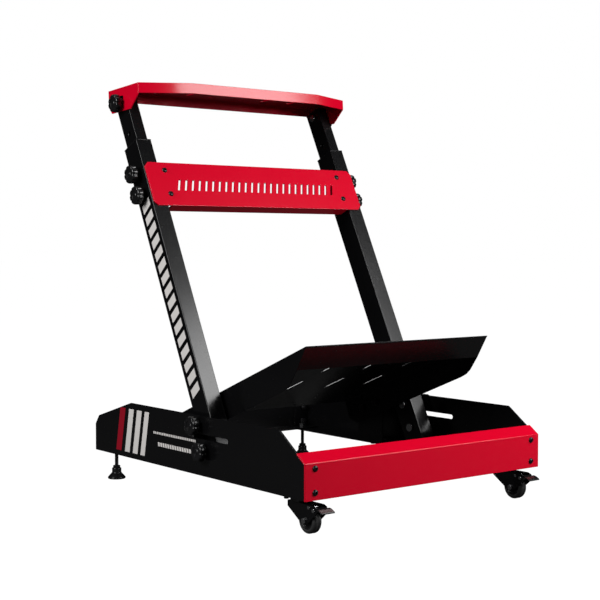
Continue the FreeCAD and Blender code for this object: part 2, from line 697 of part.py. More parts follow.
def panel_brackets():
    """Angles on the inner faces of the uprights that the cross panel is screwed to."""
    solids = []
    low, high = S.panel_low + 6, S.panel_high - 6
    for _, side in SIDES:
        leg_x = mirrored(side, upright_in - S.sheet, S.sheet)
        face_x = mirrored(side, upright_in - 20, 20)
        leg = box(leg_x, -S.outer_deep / 2, low, S.sheet, 30, high - low)
        face = box(face_x, -S.outer_deep / 2, low, 20, S.sheet, high - low)
        holes = [rod("Y", side * S.panel_screw_x, -S.outer_deep / 2 - 1, z, S.screw_radius + S.loose_gap, 5)
                 for z in (S.panel_screw_low, S.panel_screw_high)]
        solids.append(cut(fuse(leg, face), *holes))
    return piece(group(*solids), "panel_brackets", upright)


def panel_screws():
    face = -S.outer_deep / 2 - S.sheet
    solids = [button_screw(side * S.panel_screw_x, face, z, -1, 2 * S.sheet + 6)
              for _, side in SIDES for z in (S.panel_screw_low, S.panel_screw_high)]
    return piece(group(*solids), "panel_screws", upright)


def guide_sleeve(name, side):
    """Plastic sleeve in the tube mouth that the inner tube slides through."""
    x = side * S.upright_x
    wide = S.outer_wide - 2 * S.outer_wall - 0.1
    deep = S.outer_deep - 2 * S.outer_wall - 0.1
    top = S.outer_top + S.sleeve_rim
    liner = box(x - wide / 2, -deep / 2, S.outer_top - S.sleeve_height, wide, deep, S.sleeve_height + 1)
    rim = box(x - S.outer_wide / 2, -S.outer_deep / 2, S.outer_top, S.outer_wide, S.outer_deep, S.sleeve_rim)
    open_wide = S.inner_wide + 2 * S.sleeve_gap
    open_deep = S.inner_deep + 2 * S.sleeve_gap
    bore = box(x - open_wide / 2, -open_deep / 2, S.outer_top - S.sleeve_height - 1, open_wide, open_deep,
               top - S.outer_top + S.sleeve_height + 2)
    return piece(cut(fuse(liner, rim), bore), f"guide_sleeve_{name}", upright)


def upright_fittings():
    """Weld nuts for the height knobs, and the bolts, spacers and washers at the foot."""
    nuts, spacers, bolts, washers = [], [], [], []
    spacer_wide = plate_in - upright_out - S.loose_gap
    for _, side in SIDES:
        nut_x = mirrored(side, upright_out, S.nut_height)
        for z in stud_heights:
            nuts.append(cut(rod("X", nut_x, 0.0, z, S.nut_radius, S.nut_height),
                            rod("X", nut_x, 0.0, z, bolt_turns, S.nut_height)))
        spacer_x = mirrored(side, upright_out, spacer_wide)
        washer_x = mirrored(side, plate_out + S.loose_gap, 1.5)
        for z in (0.0, S.tilt_bolt):
            spacers.append(cut(rod("X", spacer_x, 0.0, z, 12, spacer_wide),
                               rod("X", spacer_x, 0.0, z, bolt_loose, spacer_wide)))
            bolts.append(bolt_along_x(side, upright_in, plate_out + 15, 0.0, z, 8, 4))
            washers.append(cut(rod("X", washer_x, 0.0, z, 11, 1.5), rod("X", washer_x, 0.0, z, bolt_loose, 1.5)))
    piece(group(*nuts), "weld_nuts", upright)
    piece(group(*spacers), "foot_spacers", upright)
    piece(group(*bolts), "foot_bolts", upright)
    piece(group(*washers), "foot_washers", upright)


# ---------------------------------------------------------------- extension

def inner_tube(name, side):
    """Sliding tube with a row of holes in both side walls."""
    x = side * S.upright_x - S.inner_wide / 2
    wall = S.inner_wall
    high = S.deck_reach + S.inner_over - S.inner_foot
    bar = box(x, -S.inner_deep / 2, S.inner_foot, S.inner_wide, S.inner_deep, high)
    bore = box(x + wall, wall - S.inner_deep / 2, S.inner_foot - 1, S.inner_wide - 2 * wall,
               S.inner_deep - 2 * wall, high + 2)
    row = [rod("X", x - 1, 0.0, S.deck_reach - count * S.hole_pitch, S.hole_radius, S.inner_wide + 2)
           for count in range(3, 16)]
    bolt_hole = rod("X", x - 1, 0.0, S.deck_reach, bolt_loose, S.inner_wide + 2)
    return piece(cut(bar, bore, bolt_hole, *row), f"inner_tube_{name}", upright)


def inner_tube_fittings():
    """Slide blocks on the feet of the inner tubes, caps in their tops, and the deck bolts."""
    blocks, caps, bolts = [], [], []
    gap = 2 * S.sleeve_gap + 0.1
    wide = S.outer_wide - 2 * S.outer_wall - gap
    deep = S.outer_deep - 2 * S.outer_wall - gap
    plug_wide = S.inner_wide - 2 * S.inner_wall - 0.1
    plug_deep = S.inner_deep - 2 * S.inner_wall - 0.1
    top = S.deck_reach + S.inner_over
    inner_face = S.upright_x - S.inner_wide / 2
    for _, side in SIDES:
        x = side * S.upright_x
        flat = box(x - wide / 2, -deep / 2, S.inner_foot - S.block_height, wide, deep, S.block_height)
        plug = box(x - plug_wide / 2, -plug_deep / 2, S.inner_foot, plug_wide, plug_deep, 12)
        blocks.append(fuse(flat, plug))
        cap = box(x - S.inner_wide / 2, -S.inner_deep / 2, top, S.inner_wide, S.inner_deep, 2)
        stub = box(x - plug_wide / 2, -plug_deep / 2, top - 8, plug_wide, plug_deep, 9)
        caps.append(fuse(cap, stub))
        bolts.append(bolt_along_x(side, inner_face - 0.05, S.deck_half + 13, 0.0, S.deck_reach, S.nut_radius, 5.5))
    piece(group(*blocks), "slide_blocks", upright)
    piece(group(*caps), "tube_caps", upright)
    piece(group(*bolts), "deck_bolts", upright)


# ---------------------------------------------------------------- wheel deck

def wheel_deck():
    """Folded tray, open below, with a faceted front and deeper side flanges at its bolts."""
    body = new_body()
    half, front, rear = S.deck_half, -S.deck_front, S.deck_rear
    cx, cy, skin = S.deck_corner_x, S.deck_corner_y, S.deck_sheet
    outline = [(-half, front + cy), (-half + cx, front), (half - cx, front), (half, front + cy),
               (half, rear), (-half, rear)]
    pad_lines(body, "XY", S.deck_rise - S.deck_lip, outline, S.deck_lip)
    facet = long_side(cx, cy)
    side_step = cy + skin * (facet - cy) / cx
    front_step = cx + skin * (facet - cx) / cy
    inside = [(-half + skin, front + side_step), (-half + front_step, front + skin),
              (half - front_step, front + skin), (half - skin, front + side_step),
              (half - skin, rear - skin), (-half + skin, rear - skin)]
    hollow = sketch_on(body, "XY", S.deck_rise - S.deck_lip)
    draw_lines(hollow, inside)
    inner = body.newObject("PartDesign::Pocket", "hollow")
    inner.Profile = hollow
    inner.Reversed = True
    bind(inner, "Length", S.deck_lip - skin)
    ear_top = S.deck_rise - S.deck_lip
    ear = [(front + cy, ear_top), (-39.0, -S.deck_ear), (34.0, -S.deck_ear), (rear, -S.deck_ear + 14),
           (rear, ear_top + 1), (front + cy, ear_top + 1)]
    for _, side in SIDES:
        pad_lines(body, "YZ", half - skin if side > 0 else -half, ear, skin)
    bolt_holes = sketch_on(body, "YZ")
    draw_circle(bolt_holes, 0.0, 0.0, bolt_turns)
    draw_slot(bolt_holes, (-9.0, 11.0), (2.0, 11.0), Size(4, "4"))
    pocket(body, bolt_holes, 2 * half + 2)
    top_holes = sketch_on(body, "XY", S.deck_rise - skin / 2)
    middle = (rear + front) / 2
    for corner in range(4):
        angle = math.radians(45 + 90 * corner)
        radius = S.deck_hole_circle / 2
        draw_circle(top_holes, radius * math.cos(angle), middle + radius * math.sin(angle), S.deck_hole_radius)
    for _, side in SIDES:
        for x in (95, 165):
            draw_slot(top_holes, (side * float(x), middle - 38), (side * float(x), middle + 38), S.deck_hole_radius)
    body.Tip = pocket(body, top_holes, 2 * skin)
    return piece(body, "wheel_deck", deck)


# ---------------------------------------------------------------- pedal tray

def pedal_tray():
    """Sloping plate with side flanges, a folded-under front flange and rows of long slots."""
    body = new_body()
    front, rear = -S.tray_pivot_y, S.tray_length - S.tray_pivot_y
    top, skin = S.tray_pivot_z, S.tray_sheet
    half = S.tray_half
    pad_lines(body, "XY", top - skin, rectangle(-half, front + 1, half, rear), skin)
    low = top - S.tray_side
    side_outline = [(front, top), (front + S.tray_lip_y, top - S.tray_lip_z), (front + 67, top - 48),
                    (front + 80, top - 52.6), (front + 97, low), (rear - 20, low), (rear, low + 16), (rear, top)]
    for _, side in SIDES:
        pad_lines(body, "YZ", half - skin if side > 0 else -half, side_outline, skin)
    lip = [(front, top), (front + S.tray_lip_y, top - S.tray_lip_z),
           (front + S.tray_lip_y + 1.2, top - S.tray_lip_z + 1.6), (front + 3.3, top)]
    pad_lines(body, "YZ", 0.0, lip, 2 * half, both_ways=True)
    slots = sketch_on(body, "XY", top - skin / 2)
    for _, side in SIDES:
        for x in (S.tray_slot_x, S.tray_slot_x + S.tray_slot_pitch):
            for row in range(2):
                start = front + S.tray_slot_first + row * S.tray_slot_row
                draw_slot(slots, (side * x, start), (side * x, start + S.tray_slot_length), S.tray_slot_radius)
    pocket(body, slots, 2 * skin)
    bolt_holes = sketch_on(body, "YZ")
    draw_circle(bolt_holes, 0.0, 0.0, bolt_turns)
    draw_circle(bolt_holes, -S.tray_clamp, 0.0, bolt_loose)
    body.Tip = pocket(body, bolt_holes, 2 * half + 2)
    return piece(body, "pedal_tray", tray)


# ---------------------------------------------------------------- hand knobs

LOBES = 8


def knob(node, side, inner, z, frame, bore=None):
    """Lobed hand knob whose hub starts at `inner`; `bore` is the depth of a blind hole for a bolt."""
    hub = rod("X", mirrored(side, inner, S.knob_hub_height), 0.0, z, S.knob_hub, S.knob_hub_height)
    grip_in = inner + S.knob_hub_height
    grip = rod("X", mirrored(side, grip_in, S.knob_height), 0.0, z, S.knob_radius, S.knob_height)
    grooves = []
    for lobe in range(LOBES):
        angle = 2 * math.pi * lobe / LOBES
        y = (S.knob_radius + 2.4) * math.cos(angle)
        rise = (S.knob_radius + 2.4) * math.sin(angle)
        grooves.append(rod("X", mirrored(side, grip_in - 1, S.knob_height + 2), y, z + rise, S.knob_groove,
                           S.knob_height + 2))
    if bore is not None:
        grooves.append(rod("X", mirrored(side, inner - 1, bore + 1), 0.0, z, bolt_turns, bore + 1))
    return piece(cut(fuse(hub, grip), *grooves), node, frame)


def hand_knobs():
    """Two height knobs with studs, one deck knob, one tilt knob and one pivot knob on each side."""
    tip = S.upright_x + S.inner_wide / 2 + 0.4
    stud_knob = upright_out + S.nut_height + 1
    for name, side in SIDES:
        for level, z in zip(("upper", "lower"), stud_heights):
            knob(f"height_knob_{name}_{level}", side, stud_knob, z, upright)
            stud = rod("X", mirrored(side, tip, stud_knob - tip), 0.0, z, S.bolt_radius, stud_knob - tip)
            piece(group(stud), f"height_stud_{name}_{level}", upright)
        knob(f"deck_knob_{name}", side, S.deck_half + 1, S.deck_reach, upright, bore=12.5)
        knob(f"tilt_knob_{name}", side, plate_out + 2, S.tilt_bolt, upright, bore=13.5)
        knob(f"pivot_knob_{name}", side, plate_out + 2, Size(0, "0"), upright, bore=13.5)


# ---------------------------------------------------------------- castors

def castor_plates():
    """Top plates with their king pins, fixed under the side plates."""
    solids = []
    drop = S.castor_top + S.castor_race + S.castor_top
    for _, side in SIDES:
        x = side * S.castor_x
        plate = box(x - S.castor_plate / 2, -S.castor_plate / 2, -S.castor_top, S.castor_plate, S.castor_plate,
                    S.castor_top)
        pin = rod("Z", x, 0.0, -drop - 0.3, S.bolt_radius, drop)
        head = rod("Z", x, 0.0, -drop - 2.3, 6.5, 2)
        screw = S.castor_plate / 2 - 5
        holes = [rod("Z", x + dx, dy, -S.castor_top - 1, S.screw_radius - 0.3, S.castor_top + 2)
                 for dx in (-screw, screw) for dy in (-screw, screw)]
        solids.append(cut(fuse(plate, pin, head), *holes))
    centre = Frame(front_y + S.castor_y, S.ride_height)
    return piece(group(*solids), "castor_plates", centre)


def castor_screws():
    """M5 screws, heads up, with nuts under the top plates."""
    solids = []
    screw = S.castor_plate / 2 - 5
    for _, side in SIDES:
        for dx in (-screw, screw):
            for dy in (-screw, screw):
                x = side * S.castor_x + dx
                head = rod("Z", x, dy, S.sheet, 4.2, 2.8)
                shank = rod("Z", x, dy, -S.castor_top - 4, 2.5, S.sheet + S.castor_top + 4)
                nut = hexagon("Z", x, dy, -S.castor_top - 3.5, 4.6, 3.5)
                solids.append(fuse(head, shank, nut))
    return piece(group(*solids), "castor_screws", Frame(front_y + S.castor_y, S.ride_height))


def castor_fork(name, side):
    """Swivel race, crown and two legs; the axle is ahead of the swivel."""
    crown_top = -S.castor_top - S.castor_race
    axle_z = S.wheel_radius - S.ride_height
    leg_in = S.wheel_width / 2 + 1
    race = rod("Z", 0.0, 0.0, crown_top, 17, S.castor_race - 0.2)
    crown = box(-leg_in - S.castor_top, -34.0, crown_top - S.castor_top, 2 * (leg_in + S.castor_top), 54.0,
                S.castor_top)
    legs = []
    for x in (-leg_in - S.castor_top, leg_in):
        body = new_body()
        shank = [(-S.brake_pin_y + 2, crown_top), (20.0, crown_top), (20.0, crown_top - 10),
                 (-S.castor_trail + 8, axle_z - 6), (-S.castor_trail - 8, axle_z - 4),
                 (-S.brake_pin_y - 6, -S.brake_pin_z - 6), (-S.brake_pin_y - 6, -S.brake_pin_z + 5)]
        body.Tip = pad_lines(body, "YZ", x, shank, S.castor_top)
        legs.append(body)
        legs.append(rod("X", x, -S.castor_trail, axle_z, 8, S.castor_top))
    king = rod("Z", 0.0, 0.0, crown_top - 10, bolt_turns, S.castor_race + 12)
    holes = [rod("X", -leg_in - 4, -S.castor_trail, axle_z, S.axle_radius + 0.02, 2 * leg_in + 8),
             rod("X", -leg_in - 4, -S.brake_pin_y, -S.brake_pin_z, 2.02, 2 * leg_in + 8),
             rod("X", -leg_in - 4, -S.brake_pin_y + 12, -S.brake_pin_z + 3, 1.62, 2 * leg_in + 8)]
    fork = cut(fuse(race, crown, *legs), king, *holes)
    return piece(fork, f"castor_fork_{name}", castor_frame(side))


def castor_pins(name, side):
    """Axle bolt with its nut, and the pin of the brake pedal."""
    outer = S.wheel_width / 2 + 1 + S.castor_top
    axle_z = S.wheel_radius - S.ride_height
    y = -S.castor_trail
    axle = fuse(rod("X", -outer - 1.5, y, axle_z, S.axle_radius, 2 * outer + 3),
                hexagon("X", outer + 0.02, y, axle_z, 5.5, 3.5), hexagon("X", -outer - 3.52, y, axle_z, 5.5, 3.5))
    pin = rivet(outer, -S.brake_pin_y, -S.brake_pin_z, 2, 3.4)
    stop = rivet(outer, -S.brake_pin_y + 12, -S.brake_pin_z + 3, 1.6, 2.8)
    return piece(group(axle, pin, stop), f"castor_pins_{name}", castor_frame(side))


def rivet(outer, y, z, radius, head):
    """A pin through both legs with a flat head outside each."""
    return fuse(rod("X", -outer - 1, y, z, radius, 2 * outer + 2), rod("X", outer + 0.02, y, z, head, 1.4),
                rod("X", -outer - 1.42, y, z, head, 1.4))


def castor_wheel(name, side):
    """Tyre with rounded shoulders round a dished core that turns on the axle."""
    body = new_body()
    profile = sketch_on(body, "XZ")
    half, rim = S.wheel_width / 2, S.wheel_radius
    axle_z = S.wheel_radius - S.ride_height
    bore = S.axle_radius + S.running_gap
    draw_lines(profile, [(-half, bore), (half, bore), (half, 6.0), (half - 2.5, 8.0), (half - 2.5, S.wheel_core - 2),
                         (half - 0.5, S.wheel_core), (half, rim - 4), (half - 1, rim - 1.4), (half - 3, rim),
                         (3 - half, rim), (1 - half, rim - 1.4), (-half, rim - 4), (0.5 - half, S.wheel_core),
                         (2.5 - half, S.wheel_core - 2), (2.5 - half, 8.0), (-half, 6.0)])
    turn = body.newObject("PartDesign::Revolution", "turned")
    turn.Profile = profile
    turn.ReferenceAxis = (profile, ["H_Axis"])
    turn.Angle = 360
    body.Tip = turn
    frame = castor_frame(side)
    return piece(body, f"castor_wheel_{name}", Frame(frame.y - S.castor_trail, frame.z + axle_z, x=frame.x))


def brake_pedal(name, side):
    """Foot pedal with an eye on its pin, an arm between the legs and a wider toe plate ahead of them."""
    half = S.wheel_width / 2
    tip = -(S.castor_y + S.brake_reach)
    y, z = -S.brake_pin_y, -S.brake_pin_z
    eye = rod("X", -half, y, z, 4, 2 * half)
    body = new_body()
    arm = [(y, z + 3.9), (y - 8, z + 4.4), (tip + 8, z + 3), (tip + 8, z + 0.6), (y - 8, z + 1.4), (y - 3.4, z - 2)]
    pad_lines(body, "YZ", 0.0, arm, 2 * half, both_ways=True)
    toe = [(tip + 14, z + 4.05), (tip + 8, z + 3), (tip, z - 1), (tip, z - 3.5), (tip + 8, z + 0.6),
           (tip + 14, z + 1.2)]
    body.Tip = pad_lines(body, "YZ", 0.0, toe, S.toe_width, both_ways=True)
    bore = rod("X", -half - 1, y, z, 2.06, 2 * half + 2)
    return piece(cut(fuse(eye, body), bore), f"brake_pedal_{name}", castor_frame(side))


# ---------------------------------------------------------------- levelling feet

def levelling_foot(name, side):
    """Threaded stem on a conical pad that stands on the floor."""
    stem_top = S.ride_height + 2 * S.sheet + 18
    pad = fuse(rod("Z", 0.0, 0.0, 0.0, S.foot_pad, 4), cone("Z", 0.0, 0.0, 4.0, S.foot_pad, 10, 8),
               rod("Z", 0.0, 0.0, 12.0, 9.5, 10))
    socket = rod("Z", 0.0, 0.0, 8.0, S.foot_stem, 30)
    piece(cut(pad, socket), f"foot_pad_{name}", foot_frame(side))
    stem = fuse(rod("Z", 0.0, 0.0, 8.0, S.foot_stem, stem_top - 8), hexagon("Z", 0.0, 0.0, 22.0, 7.5, 5.0))
    piece(group(stem), f"foot_stem_{name}", foot_frame(side))


def foot_nuts():
    """Nuts on the base that the levelling stems screw through."""
    solids = []
    for _, side in SIDES:
        x = side * S.foot_x
        nut = hexagon("Z", x, S.foot_behind, 2 * S.sheet, 7.5, 6.5)
        solids.append(cut(nut, rod("Z", x, S.foot_behind, 0.0, S.foot_stem + S.running_gap, 20)))
    return piece(group(*solids), "foot_nuts", base)


# ---------------------------------------------------------------- build

for name, side in SIDES:
    side_plate(name, side)
front_beam()
rear_crossmember()
base_screws()
for name, side in SIDES:
    tray_bracket(name, side)
bracket_screws()
tray_bolts()
for name, side in SIDES:
    upright_tube(name, side)
    guide_sleeve(name, side)
cross_panel()
panel_brackets()
panel_screws()
upright_fittings()
for name, side in SIDES:
    inner_tube(name, side)
inner_tube_fittings()
wheel_deck()
pedal_tray()
hand_knobs()
castor_plates()
castor_screws()
for name, side in SIDES:
    castor_fork(name, side)
    castor_pins(name, side)
    castor_wheel(name, side)
    brake_pedal(name, side)
    levelling_foot(name, side)
foot_nuts()

doc.recompute()
for obj in doc.Objects:
    if "Invalid" in obj.State or "Error" in obj.State:
        raise RuntimeError(f"{obj.Label} ({obj.TypeId}) failed: {obj.State}")
for obj in subparts:
    if obj.Shape.isNull() or not obj.Shape.isValid():
        raise RuntimeError(f"{obj.Label} has no valid shape")

os.makedirs("parts", exist_ok=True)
for obj in subparts:
    obj.Shape.exportStep(f"parts/{obj.Label}.step")
print(len(subparts), "sub-parts written")
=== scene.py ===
"""Finished model of a free-standing stand for a racing wheel and its pedals.

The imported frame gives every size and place. The operators below dress it: folded sheet and tube with
rounded edges, screws, knobs, castors, feet, labels and the studio that it stands in.
"""
import json
import math

import bmesh
import bpy
from mathutils import Matrix, Vector


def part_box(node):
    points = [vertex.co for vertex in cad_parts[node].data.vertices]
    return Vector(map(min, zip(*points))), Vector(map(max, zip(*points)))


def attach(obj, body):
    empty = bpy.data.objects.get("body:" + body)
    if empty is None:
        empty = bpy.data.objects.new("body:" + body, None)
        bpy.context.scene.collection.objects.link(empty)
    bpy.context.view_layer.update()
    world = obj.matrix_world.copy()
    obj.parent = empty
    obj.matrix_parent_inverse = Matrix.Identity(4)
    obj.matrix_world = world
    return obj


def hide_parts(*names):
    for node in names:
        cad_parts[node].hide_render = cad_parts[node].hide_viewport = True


bl_info = {
    "name": "Racing wheel stand",
    "version": (1, 0, 0),
    "blender": (4, 5, 0),
    "location": "3D View > Sidebar > Wheel stand",
    "description": "Dresses the frame of a racing wheel stand with its finished pieces",
    "category": "Object",
}

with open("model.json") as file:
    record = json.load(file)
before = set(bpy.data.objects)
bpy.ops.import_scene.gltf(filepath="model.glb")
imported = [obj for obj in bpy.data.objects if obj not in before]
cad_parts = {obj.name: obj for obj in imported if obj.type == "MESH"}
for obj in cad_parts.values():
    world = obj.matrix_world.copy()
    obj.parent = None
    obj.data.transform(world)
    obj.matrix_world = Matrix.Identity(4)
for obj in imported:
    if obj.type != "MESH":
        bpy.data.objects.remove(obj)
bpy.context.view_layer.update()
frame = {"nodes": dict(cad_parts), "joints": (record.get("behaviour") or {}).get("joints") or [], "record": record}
SIDES = (("left", -1), ("right", 1))

# Button screws of 6 mm: head radius and height, socket, length under the head, shank radius
SCREW_HEAD = 0.0055
SCREW_HEAD_HEIGHT = 0.0033
SCREW_SOCKET = 0.0023
SCREW_REACH = 0.0125
SCREW_SHANK = 0.003
# Their nuts: corner radius, height, and how far they sit behind the head's seat
NUT_RADIUS = 0.0058
NUT_HEIGHT = 0.005
NUT_SEAT = 0.00605
# Threads of 8 mm
STUD_RADIUS = 0.004
STEM_RADIUS = 0.00395
THREAD_PITCH = 0.00125
# Hand knobs
KNOB_RADIUS = 0.018
KNOB_HEIGHT = 0.013
KNOB_HUB = 0.009
KNOB_HUB_HEIGHT = 0.004
KNOB_LOBES = 8
KNOB_GROOVE = 0.0022
# Cut film of the labels, and its gap to the coat below
FILM = 0.0002
FILM_GAP = 0.0001


# ---------------------------------------------------------------- places in the frame

def joint(name):
    return next(j for j in frame["joints"] if j["name"] == name)


def joint_place(name):
    return Vector(joint(name)["pos_m"])


def body_holding(node):
    bodies = frame["record"]["behaviour"]["bodies"]
    return next(body for body, nodes in bodies.items() if node in nodes)


def slot_of(node):
    return next(s["material_slot"] for s in frame["record"]["subparts"] if s["node"] == node)


def upright_axes():
    """Axes of the uprights: across the stand, towards the rear, and along the tubes from their pivot."""
    along = Vector(joint("height_slide")["axis"]).normalized()
    across = Vector((1, 0, 0))
    rear = along.cross(across)
    turn = Matrix((across, rear, along)).transposed().to_4x4()
    return Matrix.Translation(joint_place("upright_tilt")) @ turn


def outward(side):
    """Turns a shape made along +X so that it points away from the middle of the stand."""
    return Matrix.Identity(4) if side > 0 else Matrix.Rotation(math.pi, 4, "Z")


# ---------------------------------------------------------------- meshes

def new_piece(name, bm, matrix=None, smooth=True, sharp_deg=35):
    """A mesh object from a bmesh, with its place in its mesh and the faces pointing out."""
    if matrix is not None:
        bmesh.ops.transform(bm, matrix=matrix, verts=bm.verts)
    bmesh.ops.recalc_face_normals(bm, faces=bm.faces)
    mesh = bpy.data.meshes.new(name)
    bm.to_mesh(mesh)
    bm.free()
    if smooth:
        mesh.shade_smooth()
        mesh.set_sharp_from_angle(angle=math.radians(sharp_deg))
    obj = bpy.data.objects.new(name, mesh)
    bpy.context.scene.collection.objects.link(obj)
    return obj


def settle(obj):
    """Turns what the modifiers make into the plain mesh."""
    graph = bpy.context.evaluated_depsgraph_get()
    graph.update()
    made = bpy.data.meshes.new_from_object(obj.evaluated_get(graph), preserve_all_data_layers=True, depsgraph=graph)
    obj.modifiers.clear()
    obj.data = made
    return obj


def give(obj, body, material, slot, *nodes):
    """Material, body and the frame nodes that a piece stands for; the finish slot is not used."""
    obj.data.materials.clear()
    obj.data.materials.append(material)
    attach(obj, body)
    if nodes:
        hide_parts(*nodes)
    return obj


def round_edges(obj, width, segments=2, angle_deg=33):
    bevel = obj.modifiers.new("rounded edges", "BEVEL")
    bevel.width = width
    bevel.segments = segments
    bevel.limit_method = "ANGLE"
    bevel.angle_limit = math.radians(angle_deg)
    bevel.use_clamp_overlap = False
    weigh = obj.modifiers.new("flat faces", "WEIGHTED_NORMAL")
    weigh.mode = "FACE_AREA"
    weigh.weight = 100
    weigh.keep_sharp = True
    return bevel


def rounded_copy(node, width, segments=2, flat_deg=0.4):
    """The node's own shape, merged, its flats cleaned and its edges rounded."""
    bm = bmesh.new()
    bm.from_mesh(frame["nodes"][node].data)
    bmesh.ops.remove_doubles(bm, verts=bm.verts, dist=2e-6)
    bmesh.ops.dissolve_limit(bm, angle_limit=math.radians(flat_deg), verts=bm.verts, edges=bm.edges,
                             use_dissolve_boundaries=False)
    mesh = bpy.data.meshes.new(f"{node}_finish")
    bm.to_mesh(mesh)
    bm.free()
    mesh.shade_smooth()
    obj = bpy.data.objects.new(f"{node}_finish", mesh)
    bpy.context.scene.collection.objects.link(obj)
    round_edges(obj, width, segments)
    return settle(obj)


def finish_nodes(nodes, material, width, segments=2):
    for node in nodes:
        piece = rounded_copy(node, width, segments)
        give(piece, body_holding(node), material, slot_of(node), node)


def lathe(profile, steps=48, axis="X"):
    """A closed solid of revolution from (along, radius) pairs; the ends with radius 0 close to a point."""
    bm = bmesh.new()
    rings = []
    for along, radius in profile:
        if radius <= 1e-9:
            rings.append([bm.verts.new((along, 0, 0))])
            continue
        ring = []
        for i in range(steps):
            angle = 2 * math.pi * i / steps
            ring.append(bm.verts.new((along, radius * math.cos(angle), radius * math.sin(angle))))
        rings.append(ring)
    join_rings(bm, rings)
    if axis == "Z":
        bmesh.ops.transform(bm, matrix=Matrix.Rotation(-math.pi / 2, 4, "Y"), verts=bm.verts)
    return bm


def join_rings(bm, rings, closed=False):
    pairs = list(zip(rings, rings[1:]))
    if closed:
        pairs.append((rings[-1], rings[0]))
    for low, high in pairs:
        count = max(len(low), len(high))
        for i in range(count):
            j = (i + 1) % count
            if len(low) == 1:
                bm.faces.new((low[0], high[i], high[j]))
            elif len(high) == 1:
                bm.faces.new((low[i], high[0], low[j]))
            else:
                bm.faces.new((low[i], high[i], high[j], low[j]))


def rounded_profile(corners, radius, steps=4):
    """Replaces the inner corners of a polyline of (along, radius) pairs by small arcs."""
    points = [Vector(c) for c in corners]
    out = [points[0]]
    for before, corner, after in zip(points, points[1:], points[2:]):
        into = (before - corner)
        away = (after - corner)
        reach = min(radius, into.length * 0.45, away.length * 0.45)
        start = corner + into.normalized() * reach
        end = corner + away.normalized() * reach
        for i in range(steps + 1):
            t = i / steps
            out.append(start.lerp(corner, t).lerp(corner.lerp(end, t), t))
    out.append(points[-1])
    return [tuple(p) for p in out]


def threaded_rod(radius, pitch, length, depth=0.0, steps=20, per_turn=6):
    """A rod along +X with a real helical thread that fades out at both ends."""
    depth = depth or 0.54 * pitch
    bm = bmesh.new()
    count = max(4, int(length / pitch * per_turn))
    rings = [[bm.verts.new((0, 0, 0))]]
    for row in range(count + 1):
        along = length * row / count
        fade = min(1.0, (along + 0.2 * pitch) / pitch, (length - along + 0.2 * pitch) / pitch)
        ring = []
        for i in range(steps):
            angle = 2 * math.pi * i / steps
            phase = (along / pitch - i / steps) % 1.0
            tooth = abs(2 * phase - 1)
            r = radius - depth * (1 - tooth) * fade - 0.35 * depth * (1 - fade)
            ring.append(bm.verts.new((along, r * math.cos(angle), r * math.sin(angle))))
        rings.append(ring)
    rings.append([bm.verts.new((length, 0, 0))])
    join_rings(bm, rings)
    return bm


# ---------------------------------------------------------------- shader groups

def shader_group(name, inputs, outputs):
    """An empty shader node group with named sockets, and its input and output nodes."""
    tree = bpy.data.node_groups.new(name, "ShaderNodeTree")
    for label, kind, default in inputs:
        socket = tree.interface.new_socket(label, in_out="INPUT", socket_type=kind)
        socket.default_value = default
    for label, kind in outputs:
        tree.interface.new_socket(label, in_out="OUTPUT", socket_type=kind)
    return tree, tree.nodes.new("NodeGroupInput"), tree.nodes.new("NodeGroupOutput")


def noise(tree, scale, detail=2.0, source=None):
    node = tree.nodes.new("ShaderNodeTexNoise")
    node.inputs["Detail"].default_value = detail
    if isinstance(scale, (int, float)):
        node.inputs["Scale"].default_value = scale
    else:
        tree.links.new(scale, node.inputs["Scale"])
    if source is not None:
        tree.links.new(source, node.inputs["Vector"])
    return node


def math_node(tree, operation, first, second):
    node = tree.nodes.new("ShaderNodeMath")
    node.operation = operation
    for socket, value in zip(node.inputs, (first, second)):
        if isinstance(value, (int, float)):
            socket.default_value = value
        else:
            tree.links.new(value, socket)
    return node.outputs[0]


def surface_group():
    """Fine relief and slow changes of gloss: peel of a powder coat, or grain of moulded plastic."""
    name = "Fine relief"
    if name in bpy.data.node_groups:
        return bpy.data.node_groups[name]
    tree, start, end = shader_group(
        name,
        [("Relief scale", "NodeSocketFloat", 700.0), ("Gloss scale", "NodeSocketFloat", 9.0),
         ("Roughness", "NodeSocketFloat", 0.3), ("Gloss change", "NodeSocketFloat", 0.06),
         ("Rub marks", "NodeSocketFloat", 0.04)],
        [("Roughness", "NodeSocketFloat"), ("Height", "NodeSocketFloat")])
    place = tree.nodes.new("ShaderNodeTexCoord").outputs["Object"]
    fine = noise(tree, start.outputs["Relief scale"], 2.0, place)
    slow = noise(tree, start.outputs["Gloss scale"], 4.0, place)
    stretch = tree.nodes.new("ShaderNodeMapping")
    stretch.inputs["Scale"].default_value = (1.0, 6.0, 2.5)
    tree.links.new(place, stretch.inputs["Vector"])
    rubs = noise(tree, 60.0, 6.0, stretch.outputs[0])
    thin = tree.nodes.new("ShaderNodeMapRange")
    thin.inputs["From Min"].default_value = 0.6
    thin.inputs["From Max"].default_value = 0.75
    tree.links.new(rubs.outputs["Fac"], thin.inputs["Value"])
    drift = math_node(tree, "SUBTRACT", slow.outputs["Fac"], 0.5)
    drift = math_node(tree, "MULTIPLY", drift, start.outputs["Gloss change"])
    marks = math_node(tree, "MULTIPLY", thin.outputs[0], start.outputs["Rub marks"])
    rough = math_node(tree, "ADD", math_node(tree, "ADD", start.outputs["Roughness"], drift), marks)
    tree.links.new(rough, end.inputs["Roughness"])
    tree.links.new(fine.outputs["Fac"], end.inputs["Height"])
    return tree


